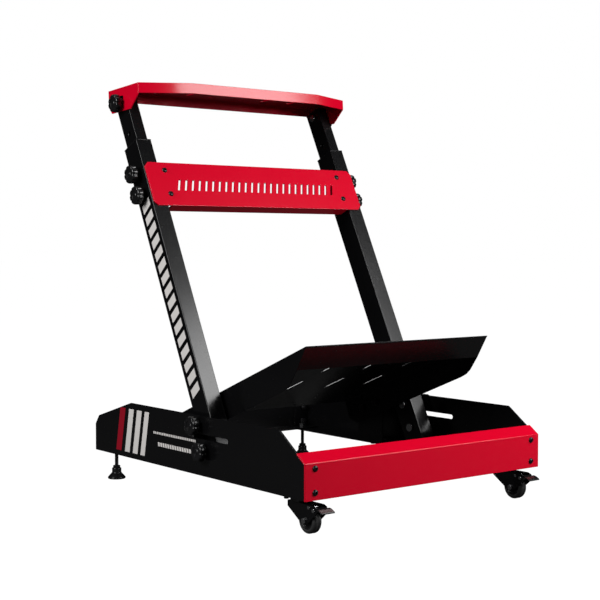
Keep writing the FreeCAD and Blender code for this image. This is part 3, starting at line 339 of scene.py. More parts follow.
def drift_group():
    """Slow change between two close colours, with a little dust in small specks."""
    name = "Colour drift"
    if name in bpy.data.node_groups:
        return bpy.data.node_groups[name]
    tree, start, end = shader_group(
        name,
        [("Colour", "NodeSocketColor", (0.5, 0.5, 0.5, 1)), ("Second colour", "NodeSocketColor", (0.5, 0.5, 0.5, 1)),
         ("Scale", "NodeSocketFloat", 14.0), ("Dust", "NodeSocketFloat", 0.02)],
        [("Colour", "NodeSocketColor")])
    place = tree.nodes.new("ShaderNodeTexCoord").outputs["Object"]
    cloud = noise(tree, start.outputs["Scale"], 3.0, place)
    mix = tree.nodes.new("ShaderNodeMix")
    mix.data_type = "RGBA"
    tree.links.new(cloud.outputs["Fac"], mix.inputs["Factor"])
    tree.links.new(start.outputs["Colour"], mix.inputs["A"])
    tree.links.new(start.outputs["Second colour"], mix.inputs["B"])
    specks = noise(tree, 420.0, 3.0, place)
    few = tree.nodes.new("ShaderNodeMapRange")
    few.inputs["From Min"].default_value = 0.62
    few.inputs["From Max"].default_value = 0.8
    tree.links.new(specks.outputs["Fac"], few.inputs["Value"])
    dust = tree.nodes.new("ShaderNodeMix")
    dust.data_type = "RGBA"
    dust.inputs["B"].default_value = (0.35, 0.34, 0.32, 1)
    tree.links.new(math_node(tree, "MULTIPLY", few.outputs[0], start.outputs["Dust"]), dust.inputs["Factor"])
    tree.links.new(mix.outputs["Result"], dust.inputs["A"])
    tree.links.new(dust.outputs["Result"], end.inputs["Colour"])
    return tree


def coated(name, colour, second, roughness, change=0.06, relief=650.0, depth=0.05, metallic=0.0, specular=0.5,
           dust=0.02, rub=0.04, coat=0.0):
    """A finish from both groups: colour, gloss and a fine bump, with the rest on the shader's own sockets."""
    if name in bpy.data.materials:
        return bpy.data.materials[name]
    material = bpy.data.materials.new(name)
    material.use_nodes = True
    tree = material.node_tree
    shader = tree.nodes["Principled BSDF"]
    shader.inputs["Metallic"].default_value = metallic
    shader.inputs["Specular IOR Level"].default_value = specular
    shader.inputs["Coat Weight"].default_value = coat
    shader.inputs["Coat Roughness"].default_value = 0.12
    relief_node = tree.nodes.new("ShaderNodeGroup")
    relief_node.node_tree = surface_group()
    relief_node.inputs["Relief scale"].default_value = relief
    relief_node.inputs["Roughness"].default_value = roughness
    relief_node.inputs["Gloss change"].default_value = change
    relief_node.inputs["Rub marks"].default_value = rub
    drift_node = tree.nodes.new("ShaderNodeGroup")
    drift_node.node_tree = drift_group()
    drift_node.inputs["Colour"].default_value = (*colour, 1)
    drift_node.inputs["Second colour"].default_value = (*second, 1)
    drift_node.inputs["Dust"].default_value = dust
    bump = tree.nodes.new("ShaderNodeBump")
    bump.inputs["Strength"].default_value = depth
    bump.inputs["Distance"].default_value = 0.0004
    tree.links.new(relief_node.outputs["Height"], bump.inputs["Height"])
    tree.links.new(relief_node.outputs["Roughness"], shader.inputs["Roughness"])
    tree.links.new(drift_node.outputs["Colour"], shader.inputs["Base Color"])
    tree.links.new(bump.outputs["Normal"], shader.inputs["Normal"])
    return material


def tint(colour, factor):
    return tuple(min(1.0, c * factor) for c in colour)


def red_coat():
    colour = bpy.context.scene.stand_finish.red
    return coated("Red powder coat", colour, tint(colour, 0.94), 0.2, depth=0.03, specular=0.42, dust=0.0)


def black_coat():
    colour = bpy.context.scene.stand_finish.black
    return coated("Black powder coat", colour, tint(colour, 1.3), 0.24, depth=0.035, specular=0.4, dust=0.004)


def black_plastic():
    colour = bpy.context.scene.stand_finish.plastic
    return coated("Black moulded plastic", colour, tint(colour, 1.25), 0.2, relief=1500.0, depth=0.06, dust=0.004)


def black_steel():
    colour = bpy.context.scene.stand_finish.screw
    return coated("Black zinc", colour, tint(colour, 1.4), 0.3, metallic=0.5, relief=900.0, depth=0.05, dust=0.0)


def bright_steel():
    colour = bpy.context.scene.stand_finish.steel
    return coated("Bright zinc", colour, tint(colour, 0.85), 0.24, metallic=1.0, relief=500.0, depth=0.05, dust=0.0)


def rubber():
    colour = bpy.context.scene.stand_finish.rubber
    return coated("Tyre rubber", colour, tint(colour, 1.6), 0.62, relief=1200.0, depth=0.22, dust=0.06)


def label_grey():
    colour = bpy.context.scene.stand_finish.label_grey
    return coated("Grey film", colour, tint(colour, 0.9), 0.42, relief=300.0, depth=0.03, dust=0.0)


def label_red():
    colour = bpy.context.scene.stand_finish.label_red
    return coated("Dark red film", colour, tint(colour, 0.9), 0.42, relief=300.0, depth=0.03, dust=0.0)


# ---------------------------------------------------------------- geometry nodes

def geometry_tree(name, inputs):
    tree = bpy.data.node_groups.new(name, "GeometryNodeTree")
    tree.interface.new_socket("Geometry", in_out="INPUT", socket_type="NodeSocketGeometry")
    for label, kind in inputs:
        tree.interface.new_socket(label, in_out="INPUT", socket_type=kind)
    tree.interface.new_socket("Geometry", in_out="OUTPUT", socket_type="NodeSocketGeometry")
    return tree, tree.nodes.new("NodeGroupInput"), tree.nodes.new("NodeGroupOutput")


def end_tree(tree, start, end, geometry):
    """Realised instances with their material, as every tree here ends."""
    real = tree.nodes.new("GeometryNodeRealizeInstances")
    paint = tree.nodes.new("GeometryNodeSetMaterial")
    tree.links.new(geometry, real.inputs[0])
    tree.links.new(real.outputs[0], paint.inputs["Geometry"])
    tree.links.new(start.outputs["Material"], paint.inputs["Material"])
    tree.links.new(paint.outputs[0], end.inputs[0])


def spread_tree():
    """One shape on every point, turned as the point's own attribute says."""
    name = "Shape on points"
    if name in bpy.data.node_groups:
        return bpy.data.node_groups[name]
    tree, start, end = geometry_tree(name, [("Shape", "NodeSocketObject"), ("Size", "NodeSocketFloat"),
                                            ("Material", "NodeSocketMaterial")])
    shape = tree.nodes.new("GeometryNodeObjectInfo")
    spread = tree.nodes.new("GeometryNodeInstanceOnPoints")
    turn = tree.nodes.new("GeometryNodeInputNamedAttribute")
    turn.data_type = "FLOAT_VECTOR"
    turn.inputs["Name"].default_value = "turn"
    rotation = tree.nodes.new("FunctionNodeEulerToRotation")
    tree.links.new(start.outputs["Shape"], shape.inputs["Object"])
    tree.links.new(start.outputs["Geometry"], spread.inputs["Points"])
    tree.links.new(shape.outputs["Geometry"], spread.inputs["Instance"])
    tree.links.new(turn.outputs["Attribute"], rotation.inputs[0])
    tree.links.new(rotation.outputs[0], spread.inputs["Rotation"])
    tree.links.new(start.outputs["Size"], spread.inputs["Scale"])
    end_tree(tree, start, end, spread.outputs[0])
    return tree


def row_tree():
    """A row of slanted blocks along X, as cut film or printed bars."""
    name = "Row of bars"
    if name in bpy.data.node_groups:
        return bpy.data.node_groups[name]
    tree, start, end = geometry_tree(
        name, [("Count", "NodeSocketInt"), ("Pitch", "NodeSocketFloat"), ("Bar", "NodeSocketVector"),
               ("Slant", "NodeSocketFloat"), ("Material", "NodeSocketMaterial")])
    line = tree.nodes.new("GeometryNodeMeshLine")
    step = tree.nodes.new("ShaderNodeCombineXYZ")
    block = tree.nodes.new("GeometryNodeMeshCube")
    spread = tree.nodes.new("GeometryNodeInstanceOnPoints")
    real = tree.nodes.new("GeometryNodeRealizeInstances")
    shear = tree.nodes.new("GeometryNodeSetPosition")
    place = tree.nodes.new("GeometryNodeInputPosition")
    parts = tree.nodes.new("ShaderNodeSeparateXYZ")
    lean = tree.nodes.new("ShaderNodeMath")
    lean.operation = "MULTIPLY"
    shift = tree.nodes.new("ShaderNodeCombineXYZ")
    tree.links.new(start.outputs["Pitch"], step.inputs["X"])
    tree.links.new(step.outputs[0], line.inputs["Offset"])
    tree.links.new(start.outputs["Count"], line.inputs["Count"])
    tree.links.new(start.outputs["Bar"], block.inputs["Size"])
    tree.links.new(line.outputs[0], spread.inputs["Points"])
    tree.links.new(block.outputs[0], spread.inputs["Instance"])
    tree.links.new(spread.outputs[0], real.inputs[0])
    tree.links.new(real.outputs[0], shear.inputs["Geometry"])
    tree.links.new(place.outputs[0], parts.inputs[0])
    tree.links.new(parts.outputs["Z"], lean.inputs[0])
    tree.links.new(start.outputs["Slant"], lean.inputs[1])
    tree.links.new(lean.outputs[0], shift.inputs["X"])
    tree.links.new(shift.outputs[0], shear.inputs["Offset"])
    end_tree(tree, start, end, shear.outputs[0])
    return tree


def run_tree(obj, tree, **values):
    """Adds the tree with its named inputs, and keeps the plain mesh that it makes."""
    modifier = obj.modifiers.new(tree.name, "NODES")
    modifier.node_group = tree
    for item in tree.interface.items_tree:
        if item.item_type == "SOCKET" and item.in_out == "INPUT" and item.name in values:
            modifier[item.identifier] = values[item.name]
    return settle(obj)


def move_mesh(obj, matrix):
    obj.data.transform(matrix)
    obj.data.update()
    return obj


def spread_shape(name, shape, places, material):
    """`shape` at each (point, euler) pair, as one mesh; the shape itself is removed."""
    mesh = bpy.data.meshes.new(name)
    mesh.from_pydata([tuple(point) for point, _ in places], [], [])
    turns = mesh.attributes.new("turn", "FLOAT_VECTOR", "POINT")
    for item, (_, turn) in zip(turns.data, places):
        item.vector = tuple(turn)
    obj = bpy.data.objects.new(name, mesh)
    bpy.context.scene.collection.objects.link(obj)
    run_tree(obj, spread_tree(), Shape=shape, Size=1.0, Material=material)
    bpy.data.objects.remove(shape)
    obj.data.shade_smooth()
    obj.data.set_sharp_from_angle(angle=math.radians(35))
    return obj


# ---------------------------------------------------------------- settings

class StandFinish(bpy.types.PropertyGroup):
    """Colours of the finishes."""

    red: bpy.props.FloatVectorProperty(name="Red coat", description="Powder coat of the beam, panel and deck",
                                       subtype="COLOR", default=(0.62, 0.0, 0.018), min=0, max=1)
    black: bpy.props.FloatVectorProperty(name="Black coat", description="Powder coat of the frame",
                                         subtype="COLOR", default=(0.0022, 0.0022, 0.0025), min=0, max=1)
    plastic: bpy.props.FloatVectorProperty(name="Plastic", description="Knobs, sleeves and foot pads",
                                           subtype="COLOR", default=(0.006, 0.006, 0.0065), min=0, max=1)
    screw: bpy.props.FloatVectorProperty(name="Black zinc", description="Screws and nuts",
                                         subtype="COLOR", default=(0.012, 0.012, 0.013), min=0, max=1)
    steel: bpy.props.FloatVectorProperty(name="Bright zinc", description="Axles, pins and bolts",
                                         subtype="COLOR", default=(0.6, 0.6, 0.61), min=0, max=1)
    rubber: bpy.props.FloatVectorProperty(name="Rubber", description="Castor tyres and pad soles",
                                          subtype="COLOR", default=(0.01, 0.01, 0.01), min=0, max=1)
    label_grey: bpy.props.FloatVectorProperty(name="Grey film", description="Light bars of the labels",
                                              subtype="COLOR", default=(0.74, 0.71, 0.69), min=0, max=1)
    label_red: bpy.props.FloatVectorProperty(name="Red film", description="Dark red bars of the labels",
                                             subtype="COLOR", default=(0.3, 0.0, 0.012), min=0, max=1)


class StandEdges(bpy.types.PropertyGroup):
    """Rounding of the edges."""

    sheet: bpy.props.FloatProperty(name="Sheet edges", description="Rounding of folded sheet", subtype="DISTANCE",
                                   default=0.0006, min=0.0001, max=0.002)
    tube: bpy.props.FloatProperty(name="Tube edges", description="Rounding of the tubes", subtype="DISTANCE",
                                  default=0.0016, min=0.0001, max=0.004)
    small: bpy.props.FloatProperty(name="Small parts", description="Rounding of nuts, brackets and forks",
                                   subtype="DISTANCE", default=0.0004, min=0.0001, max=0.002)


class StandStudio(bpy.types.PropertyGroup):
    """Camera and light."""

    lens: bpy.props.FloatProperty(name="Lens", description="Focal length", unit="CAMERA", default=77.86, min=10,
                                  max=300)
    eye: bpy.props.FloatVectorProperty(name="Camera", description="Place of the camera", subtype="TRANSLATION",
                                       default=(-1.5707, -1.98995, 0.4744))
    heading: bpy.props.FloatProperty(name="Heading", description="Turn of the view from +Y towards +X",
                                     subtype="ANGLE", default=math.atan2(0.6135, 0.7897))
    pitch: bpy.props.FloatProperty(name="Pitch", description="Fall of the view", subtype="ANGLE",
                                   default=math.radians(2.33))
    key: bpy.props.FloatProperty(name="Key light", description="Power of the large soft light", unit="POWER",
                                 default=47.0, min=0)
    fill: bpy.props.FloatProperty(name="Fill light", description="Power of the light from the left", unit="POWER",
                                  default=70.0, min=0)
    top: bpy.props.FloatProperty(name="Top light", description="Power of the overhead light", unit="POWER",
                                 default=12.0, min=0)
    floor: bpy.props.FloatProperty(name="Floor", description="Brightness of the pale floor", default=1.0, min=0,
                                   max=1)


# ---------------------------------------------------------------- operators

class STAND_OT_base(bpy.types.Operator):
    """Side plates, front beam, cross-member and tray brackets with rounded edges"""

    bl_idname = "stand.base"
    bl_label = "Base"

    def execute(self, context):
        edges = context.scene.stand_edges
        finish_nodes(["side_plate_left", "side_plate_right", "rear_crossmember", "tray_bracket_left",
                      "tray_bracket_right"], black_coat(), edges.sheet)
        finish_nodes(["front_beam"], red_coat(), edges.sheet * 1.6, 3)
        return {"FINISHED"}


class STAND_OT_uprights(bpy.types.Operator):
    """Outer and inner tubes, guide sleeves, panel and the fittings at both ends"""

    bl_idname = "stand.uprights"
    bl_label = "Uprights"

    def execute(self, context):
        edges = context.scene.stand_edges
        tubes = ["upright_tube_left", "upright_tube_right", "inner_tube_left", "inner_tube_right"]
        finish_nodes(tubes, black_coat(), edges.tube, 3)
        finish_nodes(["cross_panel"], red_coat(), edges.sheet, 3)
        finish_nodes(["panel_brackets"], black_coat(), edges.small)
        finish_nodes(["guide_sleeve_left", "guide_sleeve_right", "slide_blocks", "tube_caps"], black_plastic(),
                     edges.small)
        finish_nodes(["weld_nuts", "foot_spacers", "foot_washers"], black_steel(), edges.small)
        finish_nodes(["foot_bolts", "deck_bolts"], bright_steel(), edges.small)
        return {"FINISHED"}


class STAND_OT_deck(bpy.types.Operator):
    """Wheel deck and pedal tray with rounded folds"""

    bl_idname = "stand.deck"
    bl_label = "Deck and tray"

    def execute(self, context):
        edges = context.scene.stand_edges
        finish_nodes(["wheel_deck"], red_coat(), edges.sheet, 3)
        finish_nodes(["pedal_tray"], black_coat(), edges.sheet, 3)
        finish_nodes(["tray_pivot_bolts", "tray_clamp_bolts", "bracket_screws"], black_steel(), edges.small)
        return {"FINISHED"}


def button_head(radius, height, socket, reach, shank):
    """A button screw whose head stands on the origin and points along +X, with a hexagon socket."""
    steps = 36
    bm = bmesh.new()
    outer = [(-reach, 0.0), (-reach, shank * 0.8), (-reach + 0.0006, shank), (0.0, shank), (0.0, radius * 0.97),
             (height * 0.12, radius)]
    dome = [(height * math.sin(a), radius * math.cos(a) + (1 - math.cos(a)) * radius * 0.32)
            for a in (math.radians(d) for d in (18, 36, 54, 72, 90))]
    rings = []
    for along, r in outer + dome:
        if r <= 0:
            rings.append([bm.verts.new((along, 0, 0))])
            continue
        rings.append([bm.verts.new((along, r * math.cos(2 * math.pi * i / steps),
                                    r * math.sin(2 * math.pi * i / steps))) for i in range(steps)])
    for along, grow in ((height, 1.12), (height * 0.93, 1.0), (height * 0.35, 1.0)):
        ring = []
        for i in range(steps):
            angle = 2 * math.pi * i / steps
            sector = (angle + math.pi / 6) % (math.pi / 3) - math.pi / 6
            r = socket * grow * math.cos(math.pi / 6) / math.cos(sector)
            ring.append(bm.verts.new((along, r * math.cos(angle), r * math.sin(angle))))
        rings.append(ring)
    rings.append([bm.verts.new((height * 0.22, 0, 0))])
    join_rings(bm, rings)
    return bm


class STAND_OT_screws(bpy.types.Operator):
    """Button screws of the beam, the rear member and the cross panel, and their nuts"""

    bl_idname = "stand.screws"
    bl_label = "Screws"

    def execute(self, context):
        material = black_steel()
        to_front, to_rear = (0, 0, -math.pi / 2), (0, 0, math.pi / 2)
        for node, turn, y in (("beam_screws", to_front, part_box("beam_screws")[0].y + SCREW_HEAD_HEIGHT),
                              ("rear_screws", to_rear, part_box("rear_screws")[1].y - SCREW_HEAD_HEIGHT)):
            low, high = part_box(node)
            places = [((x, y, z), turn) for x in (low.x + SCREW_HEAD, high.x - SCREW_HEAD)
                      for z in (low.z + SCREW_HEAD, high.z - SCREW_HEAD)]
            piece = spread_shape(f"{node}_finish", screw_pattern(), places, material)
            nuts = nut_row(f"{node}_nuts", places)
            give(piece, "base", material, "black_steel", node)
            give(nuts, "base", material, "black_steel")
        axes = upright_axes()
        places = []
        for x in (-0.2175, 0.2175):
            for along in (0.5135, 0.5655):
                places.append((axes @ Vector((x, -0.028, along)), (axes.to_euler().x, 0, 0)))
        flat = [(point, (Matrix.Rotation(turn[0], 3, "X") @ Matrix.Rotation(-math.pi / 2, 3, "Z")).to_euler())
                for point, turn in places]
        piece = spread_shape("panel_screws_finish", screw_pattern(), flat, material)
        give(piece, "uprights", material, "black_steel", "panel_screws")
        finish_nodes(["foot_nuts"], black_steel(), context.scene.stand_edges.small)
        return {"FINISHED"}


def screw_pattern():
    return new_piece("screw_pattern", button_head(SCREW_HEAD, SCREW_HEAD_HEIGHT, SCREW_SOCKET, SCREW_REACH,
                                                  SCREW_SHANK))


def nut_row(name, places):
    """Hexagon nuts behind the sheet, one for each screw."""
    bm = bmesh.new()
    bmesh.ops.create_cone(bm, cap_ends=True, segments=6, radius1=NUT_RADIUS, radius2=NUT_RADIUS, depth=NUT_HEIGHT)
    bmesh.ops.transform(bm, matrix=Matrix.Rotation(math.pi / 2, 4, "Y"), verts=bm.verts)
    bmesh.ops.translate(bm, verts=bm.verts, vec=(-NUT_SEAT - NUT_HEIGHT / 2, 0, 0))
    bmesh.ops.bevel(bm, geom=list(bm.edges), offset=0.0003, segments=1, affect="EDGES")
    shape = new_piece("nut_pattern", bm)
    return spread_shape(name, shape, places, black_steel())


def knob_mesh(radius, height, hub, hub_height, lobes, groove):
    """A lobed hand knob on the origin along +X, with a hub, soft lobes and a capped insert."""
    steps = 12 * lobes
    profile = [(0.0, 0.0, 0), (0.0, 0.55, 0), (0.0, hub / radius - 0.03, 0), (hub_height * 0.15, hub / radius, 0),
               (hub_height * 0.9, hub / radius, 0.0), (hub_height, hub / radius + 0.03, 0.1),
               (hub_height + 0.0002, 0.78, 0.6), (hub_height + 0.0006, 0.93, 0.9), (hub_height + 0.0018, 0.99, 1),
               (hub_height + height * 0.3, 1.0, 1), (hub_height + height * 0.7, 1.0, 1),
               (hub_height + height * 0.86, 0.975, 1), (hub_height + height * 0.96, 0.92, 1),
               (hub_height + height, 0.83, 0.9), (hub_height + height, 0.66, 0.3), (hub_height + height, 0.52, 0),
               (hub_height + height - 0.0012, 0.49, 0), (hub_height + height - 0.0014, 0.3, 0),
               (hub_height + height - 0.0008, 0.27, 0), (hub_height + height - 0.0006, 0.0, 0)]
    bm = bmesh.new()
    rings = []
    for along, share, lobed in profile:
        if share == 0:
            rings.append([bm.verts.new((along, 0, 0))])
            continue
        ring = []
        for i in range(steps):
            angle = 2 * math.pi * i / steps
            wave = max(0.0, math.cos(lobes * angle)) ** 1.5
            r = share * radius - lobed * groove * wave
            ring.append(bm.verts.new((along, r * math.cos(angle), r * math.sin(angle))))
        rings.append(ring)
    join_rings(bm, rings)
    return bm


class STAND_OT_knobs(bpy.types.Operator):
    """Lobed hand knobs with threaded studs"""

    bl_idname = "stand.knobs"
    bl_label = "Hand knobs"

    def execute(self, context):
        plastic, steel = black_plastic(), bright_steel()
        for name, side in SIDES:
            for kind in ("height_knob_{}_upper", "height_knob_{}_lower", "deck_knob_{}", "tilt_knob_{}",
                         "pivot_knob_{}"):
                node = kind.format(name)
                centre = joint_place(f"{node}_turn")
                low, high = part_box(node)
                start = low.x if side > 0 else high.x
                place = Matrix.Translation((start, centre.y, centre.z)) @ outward(side)
                knob = new_piece(f"{node}_finish", knob_mesh(KNOB_RADIUS, KNOB_HEIGHT, KNOB_HUB, KNOB_HUB_HEIGHT,
                                                             KNOB_LOBES, KNOB_GROOVE), place, sharp_deg=50)
                give(knob, f"{node}_body", plastic, "black_plastic", node)
            for level in ("upper", "lower"):
                node = f"height_stud_{name}_{level}"
                low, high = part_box(node)
                centre = (low + high) / 2
                start = low.x if side > 0 else high.x
                place = Matrix.Translation((start, centre.y, centre.z)) @ outward(side)
                rod = new_piece(f"{node}_finish", threaded_rod(STUD_RADIUS, THREAD_PITCH, high.x - low.x), place)
                give(rod, f"height_knob_{name}_{level}_body", steel, slot_of(node), node)
        return {"FINISHED"}


class STAND_OT_castors(bpy.types.Operator):
    """Swivel castors: plate, race, fork, wheel, axle and brake pedal"""

    bl_idname = "stand.castors"
    bl_label = "Castors"

    def execute(self, context):
        edges = context.scene.stand_edges
        finish_nodes(["castor_plates"], black_coat(), edges.small)
        finish_nodes(["castor_screws"], black_steel(), edges.small)
        for name, _ in SIDES:
            finish_nodes([f"castor_fork_{name}"], black_coat(), edges.small * 1.5, 3)
            finish_nodes([f"castor_pins_{name}"], bright_steel(), edges.small)
            finish_nodes([f"brake_pedal_{name}"], black_plastic(), edges.small * 1.5, 3)
            centre = joint_place(f"castor_roll_{name}")
            place = Matrix.Translation(centre)
            body = f"castor_wheel_{name}_body"
            tyre = rounded_profile(
                [(-0.0065, 0.0152), (-0.0086, 0.0152), (-0.009, 0.0188), (-0.0062, 0.0225), (-0.0018, 0.0225),
                 (-0.0012, 0.022), (0.0012, 0.022), (0.0018, 0.0225), (0.0062, 0.0225), (0.009, 0.0188),
                 (0.0086, 0.0152), (0.0065, 0.0152)], 0.0022)
            ring = lathe_ring(tyre, 72)
            give(new_piece(f"castor_tyre_{name}", ring, place), body, rubber(), "tyre_rubber",
                 f"castor_wheel_{name}")
            core = rounded_profile(
                [(-0.007, 0.0152), (-0.008, 0.0148), (-0.0078, 0.0131), (-0.0062, 0.0122), (-0.0062, 0.0074),
                 (-0.009, 0.0066), (-0.009, 0.00305), (0.009, 0.00305), (0.009, 0.0066), (0.0062, 0.0074),
                 (0.0062, 0.0122), (0.0078, 0.0131), (0.008, 0.0148), (0.007, 0.0152)], 0.0006)
            give(new_piece(f"castor_core_{name}", lathe_ring(core, 60), place), body, black_plastic(),
                 "black_plastic")
        return {"FINISHED"}


def lathe_ring(profile, steps):
    """A ring of revolution about X whose profile closes on itself."""
    bm = bmesh.new()
    rings = [[bm.verts.new((along, r * math.cos(2 * math.pi * i / steps), r * math.sin(2 * math.pi * i / steps)))
              for i in range(steps)] for along, r in profile]
    join_rings(bm, rings, closed=True)
    return bm


class STAND_OT_feet(bpy.types.Operator):
    """Levelling feet: ribbed pads on threaded stems with their nuts"""

    bl_idname = "stand.feet"
    bl_label = "Levelling feet"

    def execute(self, context):
        for name, _ in SIDES:
            body = f"levelling_foot_{name}_body"
            low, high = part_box(f"foot_pad_{name}")
            centre = (low + high) / 2
            stand_on = Matrix.Translation((centre.x, centre.y, 0.0))
            pad = rounded_profile(
                [(0.0, 0.0), (0.0, 0.0172), (0.0012, 0.018), (0.0036, 0.018), (0.0044, 0.0168), (0.0066, 0.0152),
                 (0.0115, 0.0105), (0.0128, 0.0095), (0.021, 0.0095), (0.022, 0.0088), (0.022, 0.0041),
                 (0.012, 0.0041), (0.012, 0.0)], 0.0007, 3)
            give(new_piece(f"foot_pad_{name}_finish", lathe(pad, 64, "Z"), stand_on), body, black_plastic(),
                 "black_plastic", f"foot_pad_{name}")
            low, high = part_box(f"foot_stem_{name}")
            turn = Matrix.Rotation(-math.pi / 2, 4, "Y")
            stem = threaded_rod(STEM_RADIUS, THREAD_PITCH, high.z - low.z)
            give(new_piece(f"foot_stem_{name}_finish", stem, Matrix.Translation((centre.x, centre.y, low.z)) @ turn),
                 body, black_steel(), "black_steel", f"foot_stem_{name}")
            bm = bmesh.new()
            bmesh.ops.create_cone(bm, cap_ends=True, segments=6, radius1=0.0075, radius2=0.0075, depth=0.005)
            bmesh.ops.bevel(bm, geom=list(bm.edges), offset=0.0004, segments=2, affect="EDGES")
            give(new_piece(f"foot_lock_nut_{name}", bm, Matrix.Translation((centre.x, centre.y, 0.0245))), body,
                 black_steel(), "black_steel")
        return {"FINISHED"}


class STAND_OT_labels(bpy.types.Operator):
    """Plain bars of cut film on the left upright and on the left side plate"""

    bl_idname = "stand.labels"
    bl_label = "Labels"

    def execute(self, context):
        grey, red = label_grey(), label_red()
        axes = upright_axes()
        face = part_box("upright_tube_left")[0].x - FILM_GAP
        stripe_up = axes @ Matrix.Translation((0, 0, 0.118)) @ Matrix.Rotation(-math.pi / 2, 4, "Y")
        stripe_up = Matrix.Translation((face, 0, 0)) @ stripe_up @ Matrix.Rotation(math.pi / 2, 4, "X")
        row = run_row("upright_label", 16, 0.0255, (0.0165, FILM, 0.029), 0.28, grey)
        move_mesh(row, stripe_up)
        give(row, "uprights", grey, "black_coat")
        plate_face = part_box("side_plate_left")[0].x - FILM_GAP
        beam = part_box("front_beam")[0]
        for name, start, width, material in (("plate_label_red", 0.597, 0.020, red),
                                             ("plate_label_bar", 0.564, 0.018, grey),
                                             ("plate_label_bar_middle", 0.534, 0.018, grey),
                                             ("plate_label_bar_end", 0.506, 0.016, grey)):
            bar = run_row(name, 1, 0.02, (width, FILM, 0.086), -0.2, material)
            place = (Matrix.Translation((plate_face, beam.y + start, beam.z + 0.054))
                     @ Matrix.Rotation(math.pi / 2, 4, "Z"))
            move_mesh(bar, place)
            give(bar, "base", material, "black_coat")
        lines = (("plate_label_line", 0.329, 24, 0.0062, (0.0042, FILM, 0.0045), 0.061),
                 ("plate_label_line_low", 0.346, 14, 0.0083, (0.006, FILM, 0.0075), 0.040))
        for name, start, count, pitch, size, z in lines:
            line = run_row(name, count, pitch, size, 0.2, grey)
            place = (Matrix.Translation((plate_face, beam.y + start, beam.z + z))
                     @ Matrix.Rotation(math.pi / 2, 4, "Z"))
            move_mesh(line, place)
            give(line, "base", grey, "black_coat")
        return {"FINISHED"}


def run_row(name, count, pitch, bar, slant, material):
    obj = bpy.data.objects.new(name, bpy.data.meshes.new(name))
    bpy.context.scene.collection.objects.link(obj)
    return run_tree(obj, row_tree(), Count=count, Pitch=pitch, Bar=bar, Slant=slant, Material=material)


class STAND_OT_stage(bpy.types.Operator):
    """Pale floor, soft lights and the camera"""

    bl_idname = "stand.stage"
    bl_label = "Studio"

    def execute(self, context):
        studio = context.scene.stand_studio
        scene = context.scene
        scene.view_settings.view_transform = "Standard"
        scene.view_settings.look = "None"
        bm = bmesh.new()
        bmesh.ops.create_grid(bm, x_segments=2, y_segments=2, size=30.0)
        floor = new_piece("floor", bm, smooth=False)
        floor.data.materials.append(floor_material(studio.floor))
        world = bpy.data.worlds.new("Studio")
        scene.world = world
        world.use_nodes = True
        seen_or_dim(world.node_tree, world.node_tree.nodes["Background"], 1.0, 0.012)
        centre = Vector((0, 0, 0.4))
        soft_light("key_light", Vector((0.9, -1.45, 1.2)), Vector((0, 0, 0.4)), (1.3, 1.1), studio.key)
        soft_light("side_light", Vector((-2.7, 0.0, 1.5)), centre, (1.6, 1.6), studio.fill)
        soft_light("top_light", Vector((0.0, 0.6, 3.0)), centre, (2.4, 2.4), studio.top)
        data = bpy.data.cameras.new("camera")
        data.lens = studio.lens
        data.sensor_width = 36.0
        camera = bpy.data.objects.new("camera", data)
        scene.collection.objects.link(camera)
        level = math.cos(studio.pitch)
        ahead = Vector((math.sin(studio.heading) * level, math.cos(studio.heading) * level, -math.sin(studio.pitch)))
        camera.rotation_mode = "QUATERNION"
        camera.location = studio.eye
        camera.rotation_quaternion = ahead.to_track_quat("-Z", "Y")
        data.clip_end = 200.0
        scene.camera = camera
        return {"FINISHED"}


def soft_light(name, place, target, size, power):
    data = bpy.data.lights.new(name, "AREA")
    data.shape = "RECTANGLE"
    data.size, data.size_y = size
    data.energy = power
    light = bpy.data.objects.new(name, data)
    light.location = place
    light.rotation_mode = "QUATERNION"
    light.rotation_quaternion = (target - place).to_track_quat("-Z", "Y")
    bpy.context.scene.collection.objects.link(light)
    return light


def seen_or_dim(tree, background, seen, dim):
    """A white backdrop for the eye, and a dim room for light and reflections."""
    path = tree.nodes.new("ShaderNodeLightPath")
    level = tree.nodes.new("ShaderNodeMapRange")
    level.inputs["To Min"].default_value = dim
    level.inputs["To Max"].default_value = seen
    tree.links.new(path.outputs["Is Camera Ray"], level.inputs["Value"])
    tree.links.new(level.outputs[0], background.inputs["Strength"])
    background.inputs["Color"].default_value = (1, 1, 1, 1)


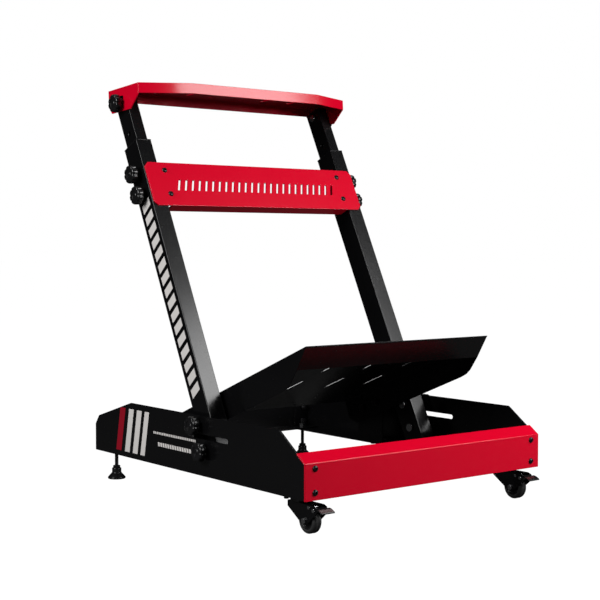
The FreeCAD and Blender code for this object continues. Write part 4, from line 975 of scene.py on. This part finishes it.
def floor_material(brightness):
    material = bpy.data.materials.new("Pale floor")
    material.use_nodes = True
    tree = material.node_tree
    shader = tree.nodes["Principled BSDF"]
    end = tree.nodes["Material Output"]
    shader.inputs["Base Color"].default_value = (0.05, 0.05, 0.05, 1)
    shader.inputs["Roughness"].default_value = 0.9
    shader.inputs["Specular IOR Level"].default_value = 0.1
    glow = tree.nodes.new("ShaderNodeEmission")
    path = tree.nodes.new("ShaderNodeLightPath")
    power = math_node(tree, "MULTIPLY", path.outputs["Is Camera Ray"], brightness)
    tree.links.new(power, glow.inputs["Strength"])
    both = tree.nodes.new("ShaderNodeAddShader")
    tree.links.new(shader.outputs[0], both.inputs[0])
    tree.links.new(glow.outputs[0], both.inputs[1])
    tree.links.new(both.outputs[0], end.inputs["Surface"])
    return material


OPERATORS = (STAND_OT_base, STAND_OT_uprights, STAND_OT_deck, STAND_OT_screws, STAND_OT_knobs, STAND_OT_castors,
             STAND_OT_feet, STAND_OT_labels, STAND_OT_stage)


class STAND_PT_panel(bpy.types.Panel):
    """Lists the pieces of the stand"""

    bl_label = "Wheel stand"
    bl_idname = "STAND_PT_panel"
    bl_space_type = "VIEW_3D"
    bl_region_type = "UI"
    bl_category = "Wheel stand"

    def draw(self, context):
        for group in ("stand_finish", "stand_edges", "stand_studio"):
            settings = getattr(context.scene, group)
            for name in settings.bl_rna.properties.keys():
                if name not in ("rna_type", "name"):
                    self.layout.prop(settings, name)
        for operator in OPERATORS:
            self.layout.operator(operator.bl_idname)


GROUPS = (("stand_finish", StandFinish), ("stand_edges", StandEdges), ("stand_studio", StandStudio))


def register():
    for name, group in GROUPS:
        bpy.utils.register_class(group)
        setattr(bpy.types.Scene, name, bpy.props.PointerProperty(type=group))
    for operator in OPERATORS:
        bpy.utils.register_class(operator)
    bpy.utils.register_class(STAND_PT_panel)


def unregister():
    bpy.utils.unregister_class(STAND_PT_panel)
    for operator in reversed(OPERATORS):
        bpy.utils.unregister_class(operator)
    for name, group in reversed(GROUPS):
        delattr(bpy.types.Scene, name)
        bpy.utils.unregister_class(group)


def main():
    register()
    for operator in OPERATORS:
        family, name = operator.bl_idname.split(".")
        getattr(getattr(bpy.ops, family), name)()


if __name__ == "__main__":
    main()
